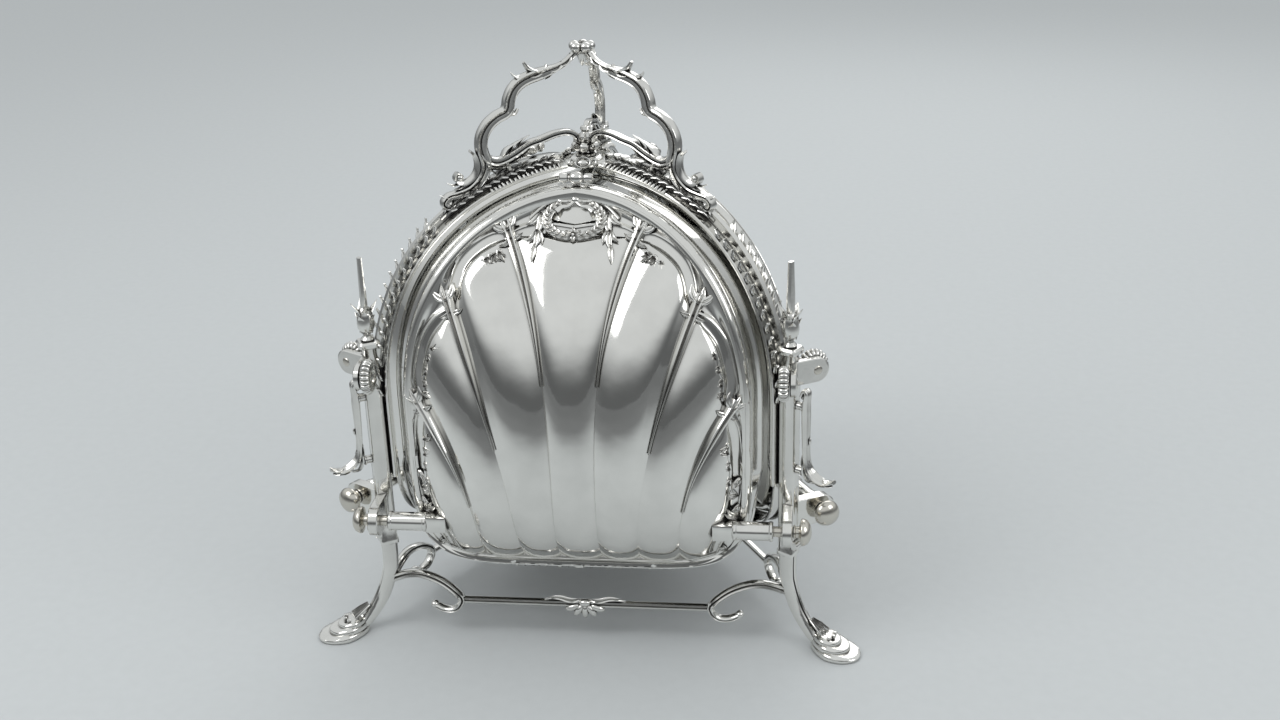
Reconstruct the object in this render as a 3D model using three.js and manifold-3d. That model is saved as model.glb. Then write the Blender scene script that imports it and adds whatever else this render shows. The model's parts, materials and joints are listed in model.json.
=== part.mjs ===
// Folding biscuit box on three feet: a domed frame of three half arches carries three shell-embossed
// bowls, each a third of the dome, which fold outward and down on pins near their lower edge.
// Millimetres, +Z up, the front bowl faces -Y, the floor is z = 0 and the box's axis is vertical.

import * as THREE from 'three';
import { mergeVertices } from 'three/addons/utils/BufferGeometryUtils.js';
import Module from 'manifold-3d';

const wasm = await Module();
wasm.setup();

// Driving dimensions, frame
const SEAT_GAP = 0.3; // between two pieces that rest on each other
const RUNNING_GAP = 0.3; // round a pin in its hole
const POST_RING = 114; // from the axis to the middle of each post
const POST_DEPTH = 8; // post section along the radius
const POST_WIDTH = 7.5; // post section across the radius
const POST_FOOT_Z = 46.6;
const POST_TOP_Z = 154.2;
const COLLAR_HEIGHT = 3;
const COLLAR_LIP = 1.1; // how far the collar stands out round the post
const FINIAL_HEIGHT = 40.5;
const FINIAL_BUD = 4.2; // radius of the leafy bud under the spear

// Driving dimensions, half arches
const SPRING_Z = 120; // where the arch leaves the post
const ARCH_RISE = 107;
const ARCH_POWER = 2.3; // fullness of the arch's curve
const STRAP_WIDTH = 14;
const STRAP_THICK = 2.4;
const WEB_WIDTH = 3;
const WEB_DEPTH = 3.9;
const ARCH_FOOT_Z = 84;
const CREST_BOSS_RADIUS = 12;
const CREST_BOSS_HEIGHT = 3.4;
const CARTOUCHE_WIDTH = 7;
const CARTOUCHE_HEIGHT = 5;

// Driving dimensions, bowls
const BOWL_WALL = 1.8;
const RIM_OFFSET = 2; // from the arch's middle plane to the bowl's rim
const RIM_INSET = 6.1; // from the strap's inner face in to the rim
const WALL_DEPTH = 16; // plain wall band, from the arch's middle plane to the moulding
const CREST_ROUND = 25; // how broadly the moulding rounds its turn at the crest
const WALL_FLARE = 1.2; // how much further out the band stands at the moulding
const BEAD_WIDTH = 5.5; // raised moulding round the shell
const BEAD_PROUD = 1.6;
const BELLY_OUT = 87; // furthest reach of the shell from the axis
const BELLY_Z = 100;
const CREST_DROP = 54; // how far the shell falls back from belly to crest
const BASE_DROP = 27; // how far it falls back from belly to its foot
const SIDE_FULLNESS = 3.5; // how far the shell keeps its reach before it turns in to its sides
const BOWL_BASE_Z = 41;
const BASE_EDGE_OUT = 66; // lower end of the moulding, from the axis
const LOWER_RIM_OUT = 57; // lower part of the rim, from the axis
const LOWER_RIM_Z = 80; // the rim is flat at and below this height
const RIM_TURN = 12; // height over which the rim leaves the arch's plane
const BASE_POWER = 5.6; // squareness of the lower corners
const FLUTE_DEPTH = 3.8; // at the scalloped edge
const FLUTE_DEPTH_LOW = 1.4; // at the base
const LOBE_STEPS = 4; // columns of facets in a lobe
const SHELL_ROWS = 6;

// Driving dimensions, bowl hinges
const HINGE_OUT = 74;
const HINGE_Z = 67.4;
const PIN_RADIUS = 2.5;
const BARREL_RADIUS = 4.8;
const BARREL_END = 92; // outer end of the knuckle barrel, from the middle of the bowl
const BARREL_START = 64;
const BARREL_FLOOR = 15; // solid end of the barrel behind the pin
const LUG_INNER = 96;
const LUG_THICK = 5;
const LUG_RADIUS = 7.4;
const KNOB_RADIUS = 6.5;
const KNOB_NECK = 3;
const KNOB_LENGTH = 6;

// Driving dimensions, roundels
const ROUNDEL_OUT = 70;
const ROUNDEL_Z = 141;
const ROUNDEL_RADIUS = 8.5;
const ROUNDEL_THICK = 5;
const TAB_INNER = 99;
const TAB_THICK = 3;
const TAB_RADIUS = 6;
const RIVET_RADIUS = 2.2;

// Driving dimensions, inner lids
const LID_OUT = 58.5; // middle of the lid panel, from the axis
const LID_THICK = 1.4;
const LID_HINGE_Z = 55;
const LID_CLEARANCE = 2.2; // from the lid's edge to the bowl's wall
const LID_PIN_RADIUS = 1.1;
const LID_BARREL_RADIUS = 2.4;
const LID_BARREL_HALF = 30;
const LID_EAR_THICK = 2.5;
const PIERCING_RADIUS = 7;
const PIERCINGS = 6; // holes in the ring round the middle one

// Driving dimensions, legs and stretchers
const LEG_WIDTH = 8;
const LEG_TOP_DEPTH = 8;
const LEG_ANKLE_DEPTH = 5.5;
const ANKLE_RADIUS = 128; // from the axis to the ankle
const TOE_RADIUS = 154;
const HOOF_WIDTH = 20;
const HOOF_HEIGHT = 8;
const BRACKET_WIDTH = 4.2;
const BRACKET_THICK = 3.2;
const STRETCHER_OUT = 66;
const STRETCHER_Z = 19.7;
const STRETCHER_HALF = 60.5;
const STRETCHER_BAR = 3.4;
const PALMETTE_WIDTH = 15;
const PALMETTE_HEIGHT = 9;

// Driving dimensions, handle
const HANDLE_HEIGHT = 56; // from the arches' crest up to the tip of the finial
const FINIAL_DROP = 11.8; // from the finial's tip down to where the arms reach its stem
const HANDLE_BAR = 4.2;
const HANDLE_WIDTH = 4.8;
const HANDLE_LOBE = 37; // reach of the upper lobe
const HANDLE_SHOULDER = 54; // reach of the lower lobe
const FINIAL_STEM = 2.6;
const HANDLE_BOSS_RADIUS = 5;
const HANDLE_BOSS_HEIGHT = 10;
const RAIL_START = 74; // the arm's rail on the arch, from the axis
const RAIL_END = 24;
const RAIL_THICK = 2.2;

// Driving dimensions, leaf brackets on the posts' outer sides
const LEAF_GAP = 2.7; // from the post to the upright strip
const LEAF_THICK = 4.2;
const LEAF_WIDTH = 5;
const LEAF_TOP_Z = 133;
const LEAF_FOOT_Z = 88;
const LEAF_REACH = 17; // how far the curled tip stands out beyond the strip
const LEAF_PEG_RADIUS = 2;

// Values that follow from the driving dimensions
const SIN60 = Math.sin(Math.PI / 3);
const COS60 = 0.5;
const ARCH_REACH = POST_RING - POST_DEPTH / 2 - SEAT_GAP; // outer face of the strap
const ARCH_CREST_Z = SPRING_Z + ARCH_RISE;
const HANDLE_TOP_Z = ARCH_CREST_Z + HANDLE_HEIGHT;
const CORNER_TURN = -Math.PI / 6; // the front right post, measured from +X
const COPY_TURN = (2 * Math.PI) / 3;
const RIM_ARCH = {
  reach: ARCH_REACH - STRAP_THICK - RIM_INSET,
  rise: ARCH_RISE - STRAP_THICK - RIM_INSET,
};
const BEAD_ARCH = { reach: RIM_ARCH.reach + WALL_FLARE, rise: RIM_ARCH.rise + 3 * WALL_FLARE };
const SHELL_CENTRE_Z = SPRING_Z;
const LID_PIN_OUT = LID_OUT - LID_BARREL_RADIUS + LID_THICK; // inside the panel, so the lid leans shut
const KNOB_END = LUG_INNER + LUG_THICK + KNOB_NECK + KNOB_LENGTH;

const plate = () => new THREE.MeshStandardMaterial({ color: 0xd4d4d0, roughness: 0.16, metalness: 1 });
const dulled = () => new THREE.MeshStandardMaterial({ color: 0xb4b3ad, roughness: 0.3, metalness: 1 });
const gilt = () => new THREE.MeshStandardMaterial({ color: 0xd9cfae, roughness: 0.22, metalness: 1 });

// Unit outlines of the bars, x across the bend and y in it
const SQUARE = [[-0.5, -0.5], [0.5, -0.5], [0.5, 0.5], [-0.5, 0.5]];
const RIDGED = [[-0.5, 0], [-0.28, -0.5], [0.28, -0.5], [0.5, 0], [0.28, 0.5], [-0.28, 0.5]];

const mix = (a, b, t) => a + (b - a) * t;
const vec = (x, y, z) => new THREE.Vector3(x, y, z);

function smooth(t) {
  const s = Math.min(1, Math.max(0, t));
  return s * s * (3 - 2 * s);
}

// A closed mesh from its corners and triangles, turned so that its faces point outwards
function closedMesh(corners, faces) {
  let volume = 0;
  for (const [a, b, c] of faces) {
    volume += corners[a].dot(corners[b].clone().cross(corners[c]));
  }
  const ordered = volume > 0 ? faces : faces.map(([a, b, c]) => [a, c, b]);
  const geometry = new THREE.BufferGeometry();
  geometry.setAttribute('position', new THREE.Float32BufferAttribute(corners.flatMap((p) => p.toArray()), 3));
  geometry.setIndex(ordered.flat());
  return geometry;
}

// Skin over a row of rings that all copy one outline, with both ends closed
function loft(rings, outline) {
  const count = outline.length;
  const faces = [];
  for (let i = 0; i + 1 < rings.length; i += 1) {
    for (let j = 0; j < count; j += 1) {
      const a = i * count + j;
      const b = i * count + ((j + 1) % count);
      faces.push([a, b, b + count], [a, b + count, a + count]);
    }
  }
  const flat = outline.map(([x, y]) => new THREE.Vector2(x, y));
  const last = (rings.length - 1) * count;
  for (const [a, b, c] of THREE.ShapeUtils.triangulateShape(flat, [])) {
    faces.push([a, c, b], [last + a, last + b, last + c]);
  }
  return closedMesh(rings.flat(), faces);
}

// A bar along a path: side is the direction across the bend; width and thick may vary from 0 to 1 along it
function bar(points, side, outline, width, thick) {
  const last = points.length - 1;
  const at = (value, t) => (typeof value === 'function' ? value(t) : value);
  const rings = points.map((point, i) => {
    const ahead = points[Math.min(i + 1, last)];
    const behind = points[Math.max(i - 1, 0)];
    const along = ahead.clone().sub(behind).normalize();
    const across = side.clone().addScaledVector(along, -side.dot(along)).normalize();
    const up = along.clone().cross(across);
    const w = at(width, i / last);
    const h = at(thick, i / last);
    return outline.map(([x, y]) => point.clone().addScaledVector(across, x * w).addScaledVector(up, y * h));
  });
  return loft(rings, outline);
}

// Points on a smooth curve through the given ones
function curve(points, steps) {
  return new THREE.CatmullRomCurve3(points, false, 'centripetal').getSpacedPoints(steps);
}

// A smooth curve in the plane through the axis, given as [distance from the axis, height]
function radialCurve(pairs, steps) {
  return curve(pairs.map(([r, z]) => vec(r, 0, z)), steps);
}

// A turned piece: profile pairs are [radius, distance along the axis], from end to end
function turned(profile, sides) {
  const outline = profile.map(([radius, along]) => new THREE.Vector2(radius, along));
  return new THREE.LatheGeometry(outline, sides).rotateX(Math.PI / 2);
}

function turnedAlongX(profile, sides) {
  return turned(profile, sides).rotateY(Math.PI / 2);
}

function rod(radius, from, to, sides) {
  return turnedAlongX([[0, from], [radius, from], [radius, to], [0, to]], sides);
}

function solid(geometry) {
  const bare = geometry.clone();
  bare.deleteAttribute('normal');
  bare.deleteAttribute('uv');
  const merged = mergeVertices(bare, 1e-4);
  return new wasm.Manifold(new wasm.Mesh({
    numProp: 3,
    vertProperties: new Float32Array(merged.attributes.position.array),
    triVerts: new Uint32Array(merged.index.array),
  }));
}

function skinOf(body) {
  const mesh = body.getMesh();
  const geometry = new THREE.BufferGeometry();
  geometry.setAttribute('position', new THREE.BufferAttribute(new Float32Array(mesh.vertProperties), 3));
  geometry.setIndex(new THREE.BufferAttribute(new Uint32Array(mesh.triVerts), 1));
  return geometry;
}

// One solid from many that touch, less what is cut away
function joined(geometries, cuts = []) {
  const whole = geometries.map(solid).reduce((sum, next) => sum.add(next));
  return skinOf(cuts.map(solid).reduce((rest, next) => rest.subtract(next), whole));
}

// Half arch outline: distance from the axis at a height, for a curve of the given reach and rise
function archReach(z, reach, rise) {
  const up = Math.max(0, z - SPRING_Z) / rise;
  return up >= 1 ? 0 : reach * (1 - up ** ARCH_POWER) ** (1 / ARCH_POWER);
}

function archHeight(radius, reach, rise) {
  return SPRING_Z + rise * (1 - (radius / reach) ** ARCH_POWER) ** (1 / ARCH_POWER);
}

// Points along the outside of the arch, raised by a distance, between two distances from the axis
function archPath(raised, from, to, steps) {
  const reach = ARCH_REACH + raised;
  const rise = ARCH_RISE + raised;
  const turnAt = (radius) => Math.acos((radius / reach) ** (ARCH_POWER / 2));
  const start = turnAt(from);
  const end = turnAt(to);
  return Array.from({ length: steps + 1 }, (_, i) => {
    const turn = mix(start, end, i / steps);
    const radius = reach * Math.cos(turn) ** (2 / ARCH_POWER);
    return vec(radius, 0, SPRING_Z + rise * Math.sin(turn) ** (2 / ARCH_POWER));
  });
}

// Bowl, in the front face's frame: x across, out from the axis and z up, on the right half.
// A line at a depth from the arch's middle plane rounds its turn at the crest, more so towards the moulding.
const ROUND_SHARE = (COS60 * COS60) / SIN60;

function roundAt(depth) {
  return CREST_ROUND * Math.max(0, (depth - RIM_OFFSET) / (WALL_DEPTH - RIM_OFFSET));
}

// Where that line lies at a distance along the arch's plane
function besideArch(radius, depth) {
  const along = radius - (COS60 * depth) / SIN60;
  const rounding = ROUND_SHARE * Math.hypot(along, roundAt(depth) * Math.sqrt(2 / 3));
  const x = Math.max(0, 1.5 * (SIN60 * along - rounding));
  return { x, out: (radius - SIN60 * x) / COS60 };
}

// part runs 0 at the springing to 1 at the crest
function upperEdge(depth, arch, part) {
  const mitre = (COS60 * depth) / SIN60 + ROUND_SHARE * roundAt(depth);
  const fullTurn = Math.acos((mitre / arch.reach) ** (ARCH_POWER / 2));
  const turn = part * fullTurn;
  const radius = arch.reach * Math.cos(turn) ** (2 / ARCH_POWER);
  return { ...besideArch(radius, depth), z: SPRING_Z + arch.rise * Math.sin(turn) ** (2 / ARCH_POWER) };
}

// The same edge below the springing, part runs 0 at the springing to 1 at the middle of the base
function lowerEdge(depth, arch, part, base) {
  const side = upperEdge(depth, arch, 0);
  const turn = (part * Math.PI) / 2;
  const z = SPRING_Z - (SPRING_Z - base.z) * Math.sin(turn) ** (2 / BASE_POWER);
  const out = mix(side.out, base.out, smooth((base.turnZ - z) / base.turnHeight));
  const drawnIn = (out - side.out) * Math.tan(Math.PI / 6);
  const reach = side.x - Math.max(0, drawnIn);
  return { x: part >= 1 ? 0 : reach * Math.cos(turn) ** (2 / BASE_POWER), out, z };
}

const RIM_BASE = { z: BOWL_BASE_Z + BEAD_PROUD, out: LOWER_RIM_OUT, turnZ: LOWER_RIM_Z + RIM_TURN, turnHeight: RIM_TURN };
const BEAD_BASE = { z: BOWL_BASE_Z + BEAD_PROUD, out: BASE_EDGE_OUT, turnZ: HINGE_Z + 20, turnHeight: 45 };

// A point on the rim, the wall band or the moulding; part is -1 at the base, 0 at the springing, 1 at the crest
function edgePoint(depth, arch, base, part) {
  return part >= 0 ? upperEdge(depth, arch, part) : lowerEdge(depth, arch, -part, base);
}

function beadHalfWidth(z) {
  if (z >= SPRING_Z) {
    return Math.max(1, besideArch(archReach(z, BEAD_ARCH.reach, BEAD_ARCH.rise), WALL_DEPTH).x);
  }
  const side = upperEdge(WALL_DEPTH, BEAD_ARCH, 0).x;
  const down = Math.min(0.999, (SPRING_Z - z) / (SPRING_Z - BEAD_BASE.z));
  return side * (1 - down ** BASE_POWER) ** (1 / BASE_POWER);
}

function beadOut(z) {
  const crest = upperEdge(WALL_DEPTH, BEAD_ARCH, 1);
  if (z >= SPRING_Z) {
    return z >= crest.z ? crest.out : besideArch(archReach(z, BEAD_ARCH.reach, BEAD_ARCH.rise), WALL_DEPTH).out;
  }
  const side = upperEdge(WALL_DEPTH, BEAD_ARCH, 0).out;
  return mix(side, BASE_EDGE_OUT, smooth((BEAD_BASE.turnZ - z) / BEAD_BASE.turnHeight));
}

// How far out the shell lies on its middle line
function middleOut(z) {
  const crestZ = upperEdge(WALL_DEPTH, BEAD_ARCH, 1).z;
  if (z >= BELLY_Z) {
    return BELLY_OUT - CREST_DROP * Math.min(1, (z - BELLY_Z) / (crestZ - BELLY_Z)) ** 2.2;
  }
  return BELLY_OUT - BASE_DROP * ((BELLY_Z - z) / (BELLY_Z - BOWL_BASE_Z)) ** 3.2;
}

// How far out the plain shell lies, before its flutes
function shellOut(x, z) {
  const share = Math.min(1, Math.abs(x) / beadHalfWidth(z));
  return mix(middleOut(z), beadOut(z), share ** SIDE_FULLNESS);
}

// The shell's seven lobes: each line runs from the base up to the scalloped edge. Lobe middles are
// whole numbers and grooves are the halves between: [lobe, x at base, x at edge, z at edge, bend].
const LOBE_LINES = [
  [0, 0, 0, 207, 2],
  [0.5, 10, 29.5, 205, 3.2],
  [1, 19, 51, 194, 2.2],
  [1.5, 28, 60, 176, 1.6],
  [2, 38, 71, 157, 1.7],
  [2.5, 47.5, 72.5, 131, 1.8],
  [3, 56.5, 77, 104, 1.6],
  [3.5, 63, 75, 76, 1.4],
];
const SHELL_BASE_Z = 47;

function lobeLine(lobe) {
  const place = Math.abs(lobe);
  const index = Math.min(LOBE_LINES.length - 2, Math.floor(place * 2));
  const share = place * 2 - index;
  return LOBE_LINES[index].map((value, i) => mix(value, LOBE_LINES[index + 1][i], share));
}

function shellPoint(lobe, rise) {
  const [, baseX, edgeX, edgeZ, bend] = lobeLine(lobe);
  const corner = smooth((Math.abs(lobe) - 2.5) / 1) * 5;
  const x = mix(baseX, edgeX, rise ** bend) * Math.sign(lobe);
  const z = mix(SHELL_BASE_Z + corner, edgeZ, rise);
  const crown = Math.abs(Math.cos(Math.PI * lobe)) * smooth((1 - rise) / 0.06);
  return vec(x, -(shellOut(x, z) + mix(FLUTE_DEPTH_LOW, FLUTE_DEPTH, rise) * (crown - 0.4)), z);
}

function bandPoint(part, side, depth, grow, arch, base) {
  const wider = { reach: arch.reach + grow, rise: arch.rise + grow };
  const lower = { ...base, z: base.z - grow };
  const edge = edgePoint(depth, wider, lower, part);
  return vec(side * edge.x, -edge.out, edge.z);
}

// Where an edge of the band meets a ray from the shell's centre, as its part from -1 to 1
function partTowards(x, z) {
  const wanted = Math.atan2(z - SHELL_CENTRE_Z, Math.abs(x));
  let low = -1;
  let high = 1;
  for (let i = 0; i < 40; i += 1) {
    const part = (low + high) / 2;
    const edge = edgePoint(WALL_DEPTH, BEAD_ARCH, BEAD_BASE, part);
    if (Math.atan2(edge.z - SHELL_CENTRE_Z, edge.x) < wanted) {
      low = part;
    } else {
      high = part;
    }
  }
  return (low + high) / 2;
}

function bowlShell() {
  const columns = 7 * LOBE_STEPS;
  const corners = [];
  const at = (column, row) => row * (columns + 1) + column;
  for (let row = 0; row <= SHELL_ROWS; row += 1) {
    for (let column = 0; column <= columns; column += 1) {
      corners.push(shellPoint((column / columns) * 7 - 3.5, 1 - (1 - row / SHELL_ROWS) ** 1.5));
    }
  }
  const patch = [];
  for (let row = 0; row < SHELL_ROWS; row += 1) {
    for (let column = 0; column < columns; column += 1) {
      const [a, b, c, d] = [at(column, row), at(column + 1, row), at(column + 1, row + 1), at(column, row + 1)];
      patch.push(...((column < columns / 2) ? [[a, b, c], [a, c, d]] : [[a, b, d], [b, c, d]]));
    }
  }
  const loop = [];
  for (let column = 0; column < columns; column += 1) loop.push(at(column, 0));
  for (let row = 0; row < SHELL_ROWS; row += 1) loop.push(at(columns, row));
  for (let column = columns; column > 0; column -= 1) loop.push(at(column, SHELL_ROWS));
  for (let row = SHELL_ROWS; row > 0; row -= 1) loop.push(at(0, row));

  // Rings round the shell: foot of the moulding, its crest, its other foot, then the rim
  const ringOf = (make) => {
    const first = corners.length;
    for (const index of loop) {
      const corner = corners[index];
      const middle = Math.abs(corner.x) < 1e-6;
      const part = middle ? Math.sign(corner.z - SHELL_CENTRE_Z) : partTowards(corner.x, corner.z);
      corners.push(make(part, middle ? 0 : Math.sign(corner.x)));
    }
    return first;
  };
  const foot = ringOf((part, side) => bandPoint(part, side, WALL_DEPTH + BEAD_WIDTH / 2, -0.6, BEAD_ARCH, BEAD_BASE));
  const bead = ringOf((part, side) => bandPoint(part, side, WALL_DEPTH, BEAD_PROUD, BEAD_ARCH, BEAD_BASE));
  const wall = ringOf((part, side) => bandPoint(part, side, WALL_DEPTH - BEAD_WIDTH / 2, 0, BEAD_ARCH, BEAD_BASE));
  const rim = ringOf((part, side) => bandPoint(part, side, RIM_OFFSET, 0, RIM_ARCH, RIM_BASE));
  const strip = (outer, inner) => loop.flatMap((_, i) => {
    const j = (i + 1) % loop.length;
    const [a, b, c, d] = [outer(i), outer(j), inner(j), inner(i)];
    return [[a, b, c], [a, c, d]];
  });
  const ring = (first) => (i) => first + i;
  const outerFaces = [
    ...patch,
    ...strip(ring(foot), (i) => loop[i]),
    ...strip(ring(bead), ring(foot)),
    ...strip(ring(wall), ring(bead)),
    ...strip(ring(rim), ring(wall)),
  ];

  // Inner skin: the outer one moved in by the wall's thickness, without the moulding
  const outerCount = corners.length;
  const normals = corners.map(() => vec(0, 0, 0));
  for (const [a, b, c] of outerFaces) {
    const normal = corners[b].clone().sub(corners[a]).cross(corners[c].clone().sub(corners[a]));
    for (const index of [a, b, c]) normals[index].add(normal);
  }
  for (let i = 0; i < outerCount; i += 1) {
    corners.push(corners[i].clone().addScaledVector(normals[i].normalize(), -BOWL_WALL));
  }
  const inside = (get) => (i) => get(i) + outerCount;
  const innerFaces = [
    ...patch,
    ...strip(ring(wall), (i) => loop[i]),
    ...strip(ring(rim), ring(wall)),
  ].map(([a, b, c]) => [a + outerCount, c + outerCount, b + outerCount]);
  const lip = strip(inside(ring(rim)), ring(rim));
  return keepUsed(corners, [...outerFaces, ...innerFaces, ...lip]);
}

// Drops corners that no face uses
function keepUsed(corners, faces) {
  const renamed = new Map();
  const kept = [];
  const named = faces.map((face) => face.map((index) => {
    if (!renamed.has(index)) {
      renamed.set(index, kept.length);
      kept.push(corners[index]);
    }
    return renamed.get(index);
  }));
  return closedMesh(kept, named);
}

// A plate standing across x, rounded at its outer end, with its round end at the given place
function eyePlate(inner, thick, fromOut, centreOut, centreZ, radius) {
  const shape = new THREE.Shape();
  shape.moveTo(fromOut, centreZ - radius);
  shape.lineTo(centreOut, centreZ - radius);
  shape.absarc(centreOut, centreZ, radius, -Math.PI / 2, Math.PI / 2, false);
  shape.lineTo(fromOut, centreZ + radius);
  const plateShape = new THREE.ExtrudeGeometry(shape, { depth: thick, bevelEnabled: false, curveSegments: 6 });
  const axes = new THREE.Matrix4().makeBasis(vec(0, -1, 0), vec(0, 0, 1), vec(-1, 0, 0));
  return plateShape.applyMatrix4(axes).translate(inner + thick, 0, 0);
}

// The bowl's two knuckles, with blind bores for the pins
function makeBowl() {
  const barrels = [];
  const bores = [];
  for (const side of [-1, 1]) {
    const turn = side > 0 ? 0 : Math.PI;
    const seat = (geometry) => geometry.rotateZ(turn).translate(0, -HINGE_OUT, HINGE_Z);
    barrels.push(seat(rod(BARREL_RADIUS, BARREL_START, BARREL_END, 12)));
    bores.push(seat(rod(PIN_RADIUS + RUNNING_GAP, BARREL_START + BARREL_FLOOR, BARREL_END + 1, 10)));
  }
  return joined([bowlShell(), ...barrels, ...lidEars()], [...bores, lidPinHole()]);
}

// Ears at the bowl's foot that hold the lid's pin
function lidEars() {
  const base = BOWL_BASE_Z + BEAD_PROUD;
  return [-1, 1].map((side) => {
    const middle = side * (LID_BARREL_HALF + SEAT_GAP + LID_EAR_THICK / 2);
    const height = LID_HINGE_Z - base + LID_BARREL_RADIUS;
    const ear = new THREE.BoxGeometry(LID_EAR_THICK, 2 * LID_BARREL_RADIUS, height);
    return ear.translate(middle, -LID_PIN_OUT, base + height / 2);
  });
}

function lidPinHole() {
  const half = LID_BARREL_HALF + LID_EAR_THICK + 2 * SEAT_GAP;
  return rod(LID_PIN_RADIUS + SEAT_GAP, -half, half, 8).translate(0, -LID_PIN_OUT, LID_HINGE_Z);
}

function makeLidPin() {
  const half = LID_BARREL_HALF + LID_EAR_THICK + SEAT_GAP;
  return rod(LID_PIN_RADIUS, -half, half, 8).translate(0, -LID_PIN_OUT, LID_HINGE_Z);
}

// Half width of the space for the lid at a height: inside the wall band, and clear of the shell before it
function lidHalfWidth(z) {
  if (z >= SPRING_Z) {
    const radius = archReach(z, RIM_ARCH.reach, RIM_ARCH.rise);
    const insideWall = (radius - COS60 * LID_OUT) / SIN60 - BOWL_WALL - LID_CLEARANCE;
    const wanted = LID_OUT + LID_THICK / 2 + BOWL_WALL + LID_CLEARANCE + FLUTE_DEPTH / 2;
    let [low, high] = [0, insideWall];
    for (let i = 0; i < 20; i += 1) {
      const x = (low + high) / 2;
      [low, high] = shellOut(x, z) > wanted ? [x, high] : [low, x];
    }
    return low;
  }
  const side = (RIM_ARCH.reach - COS60 * LID_OUT) / SIN60 - BOWL_WALL - LID_CLEARANCE;
  const down = Math.min(0.999, (SPRING_Z - z) / (SPRING_Z - RIM_BASE.z - BOWL_WALL - LID_CLEARANCE));
  return side * (1 - down ** BASE_POWER) ** (1 / BASE_POWER);
}

// The height at which the shell's middle line comes in to the lid's plane
function lidTopHeight() {
  const crestZ = upperEdge(WALL_DEPTH, BEAD_ARCH, 1).z;
  const share = ((BELLY_OUT - LID_OUT) / CREST_DROP) ** (1 / 2.2);
  return BELLY_Z + (crestZ - BELLY_Z) * share - BOWL_WALL - LID_CLEARANCE - FLUTE_DEPTH;
}

function makeLid() {
  const foot = LID_HINGE_Z + LID_BARREL_RADIUS + 2 * SEAT_GAP;
  const top = lidTopHeight();
  const steps = 9;
  const right = [];
  for (let i = 0; i <= steps; i += 1) {
    const z = mix(foot, top, i / steps);
    right.push([lidHalfWidth(z), z]);
  }
  const shape = new THREE.Shape();
  shape.moveTo(-LID_BARREL_HALF, foot);
  shape.lineTo(-LID_BARREL_HALF, LID_HINGE_Z + LID_BARREL_RADIUS * 0.4);
  shape.lineTo(LID_BARREL_HALF, LID_HINGE_Z + LID_BARREL_RADIUS * 0.4);
  shape.lineTo(LID_BARREL_HALF, foot);
  for (const [x, z] of right) shape.lineTo(x, z);
  for (const [x, z] of [...right].reverse()) shape.lineTo(-x, z);
  const middle = mix(foot, top, 0.5);
  for (let i = 0; i <= PIERCINGS; i += 1) {
    const turn = (i / PIERCINGS) * 2 * Math.PI;
    const ring = i === PIERCINGS ? 0 : (top - foot) * 0.25;
    const hole = new THREE.Path();
    hole.absarc(ring * Math.cos(turn), middle + ring * Math.sin(turn), PIERCING_RADIUS, 0, 2 * Math.PI, true);
    shape.holes.push(hole);
  }
  const panel = new THREE.ExtrudeGeometry(shape, { depth: LID_THICK, bevelEnabled: false, curveSegments: 4 });
  panel.rotateX(Math.PI / 2).translate(0, -LID_OUT + LID_THICK / 2, 0);
  const barrel = rod(LID_BARREL_RADIUS, -LID_BARREL_HALF, LID_BARREL_HALF, 10);
  barrel.translate(0, -LID_PIN_OUT, LID_HINGE_Z);
  const bore = rod(LID_PIN_RADIUS + RUNNING_GAP, -LID_BARREL_HALF - 1, LID_BARREL_HALF + 1, 8);
  return joined([panel, barrel], [bore.translate(0, -LID_PIN_OUT, LID_HINGE_Z)]);
}

// Pin with its mushroom head, on the right of the front bowl
function makePin(side) {
  const start = BARREL_START + BARREL_FLOOR + SEAT_GAP;
  const neck = LUG_INNER + LUG_THICK + SEAT_GAP;
  const profile = [
    [0, start], [PIN_RADIUS, start], [PIN_RADIUS, neck + KNOB_NECK - 0.6], [KNOB_RADIUS, neck + KNOB_NECK + 1],
    [KNOB_RADIUS * 0.85, KNOB_END - 1.8], [KNOB_RADIUS * 0.4, KNOB_END], [0, KNOB_END],
  ];
  const pin = turnedAlongX(profile, 10);
  return (side < 0 ? pin.rotateZ(Math.PI) : pin).translate(0, -HINGE_OUT, HINGE_Z);
}

// Thumb bar with a central bead, on the crest of the moulding
function makeThumbPiece() {
  const half = 7.4;
  const crest = bandPoint(1, 0, WALL_DEPTH, BEAD_PROUD, BEAD_ARCH, BEAD_BASE);
  const ends = [[0, -half], [2.1, -half], [2.1, -half + 2.2], [1.3, -half + 2.6], [1.3, -2.8]];
  const bead = [[3.1, -1.2], [3.1, 1.2]];
  const profile = [...ends, ...bead, ...ends.map(([radius, along]) => [radius, -along]).reverse()];
  return turnedAlongX(profile, 8).translate(0, crest.y - 1, crest.z + 3.1 + SEAT_GAP);
}

function makeRoundel(side) {
  const outer = TAB_INNER - SEAT_GAP;
  const inner = outer - ROUNDEL_THICK;
  const profile = [
    [0, inner], [ROUNDEL_RADIUS * 0.5, inner + 0.8], [ROUNDEL_RADIUS * 0.8, inner],
    [ROUNDEL_RADIUS, inner + 1.6], [ROUNDEL_RADIUS * 0.85, outer], [0, outer],
  ];
  const disc = turnedAlongX(profile, 12);
  return (side < 0 ? disc.rotateZ(Math.PI) : disc).translate(0, -ROUNDEL_OUT, ROUNDEL_Z);
}

// Flush rivet through the tab, behind the roundel
function makeRivet(side) {
  const start = TAB_INNER;
  const end = TAB_INNER + TAB_THICK + 0.4;
  const rivet = rod(RIVET_RADIUS, start, end, 8);
  return (side < 0 ? rivet.rotateZ(Math.PI) : rivet).translate(0, -ROUNDEL_OUT, ROUNDEL_Z);
}

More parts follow.
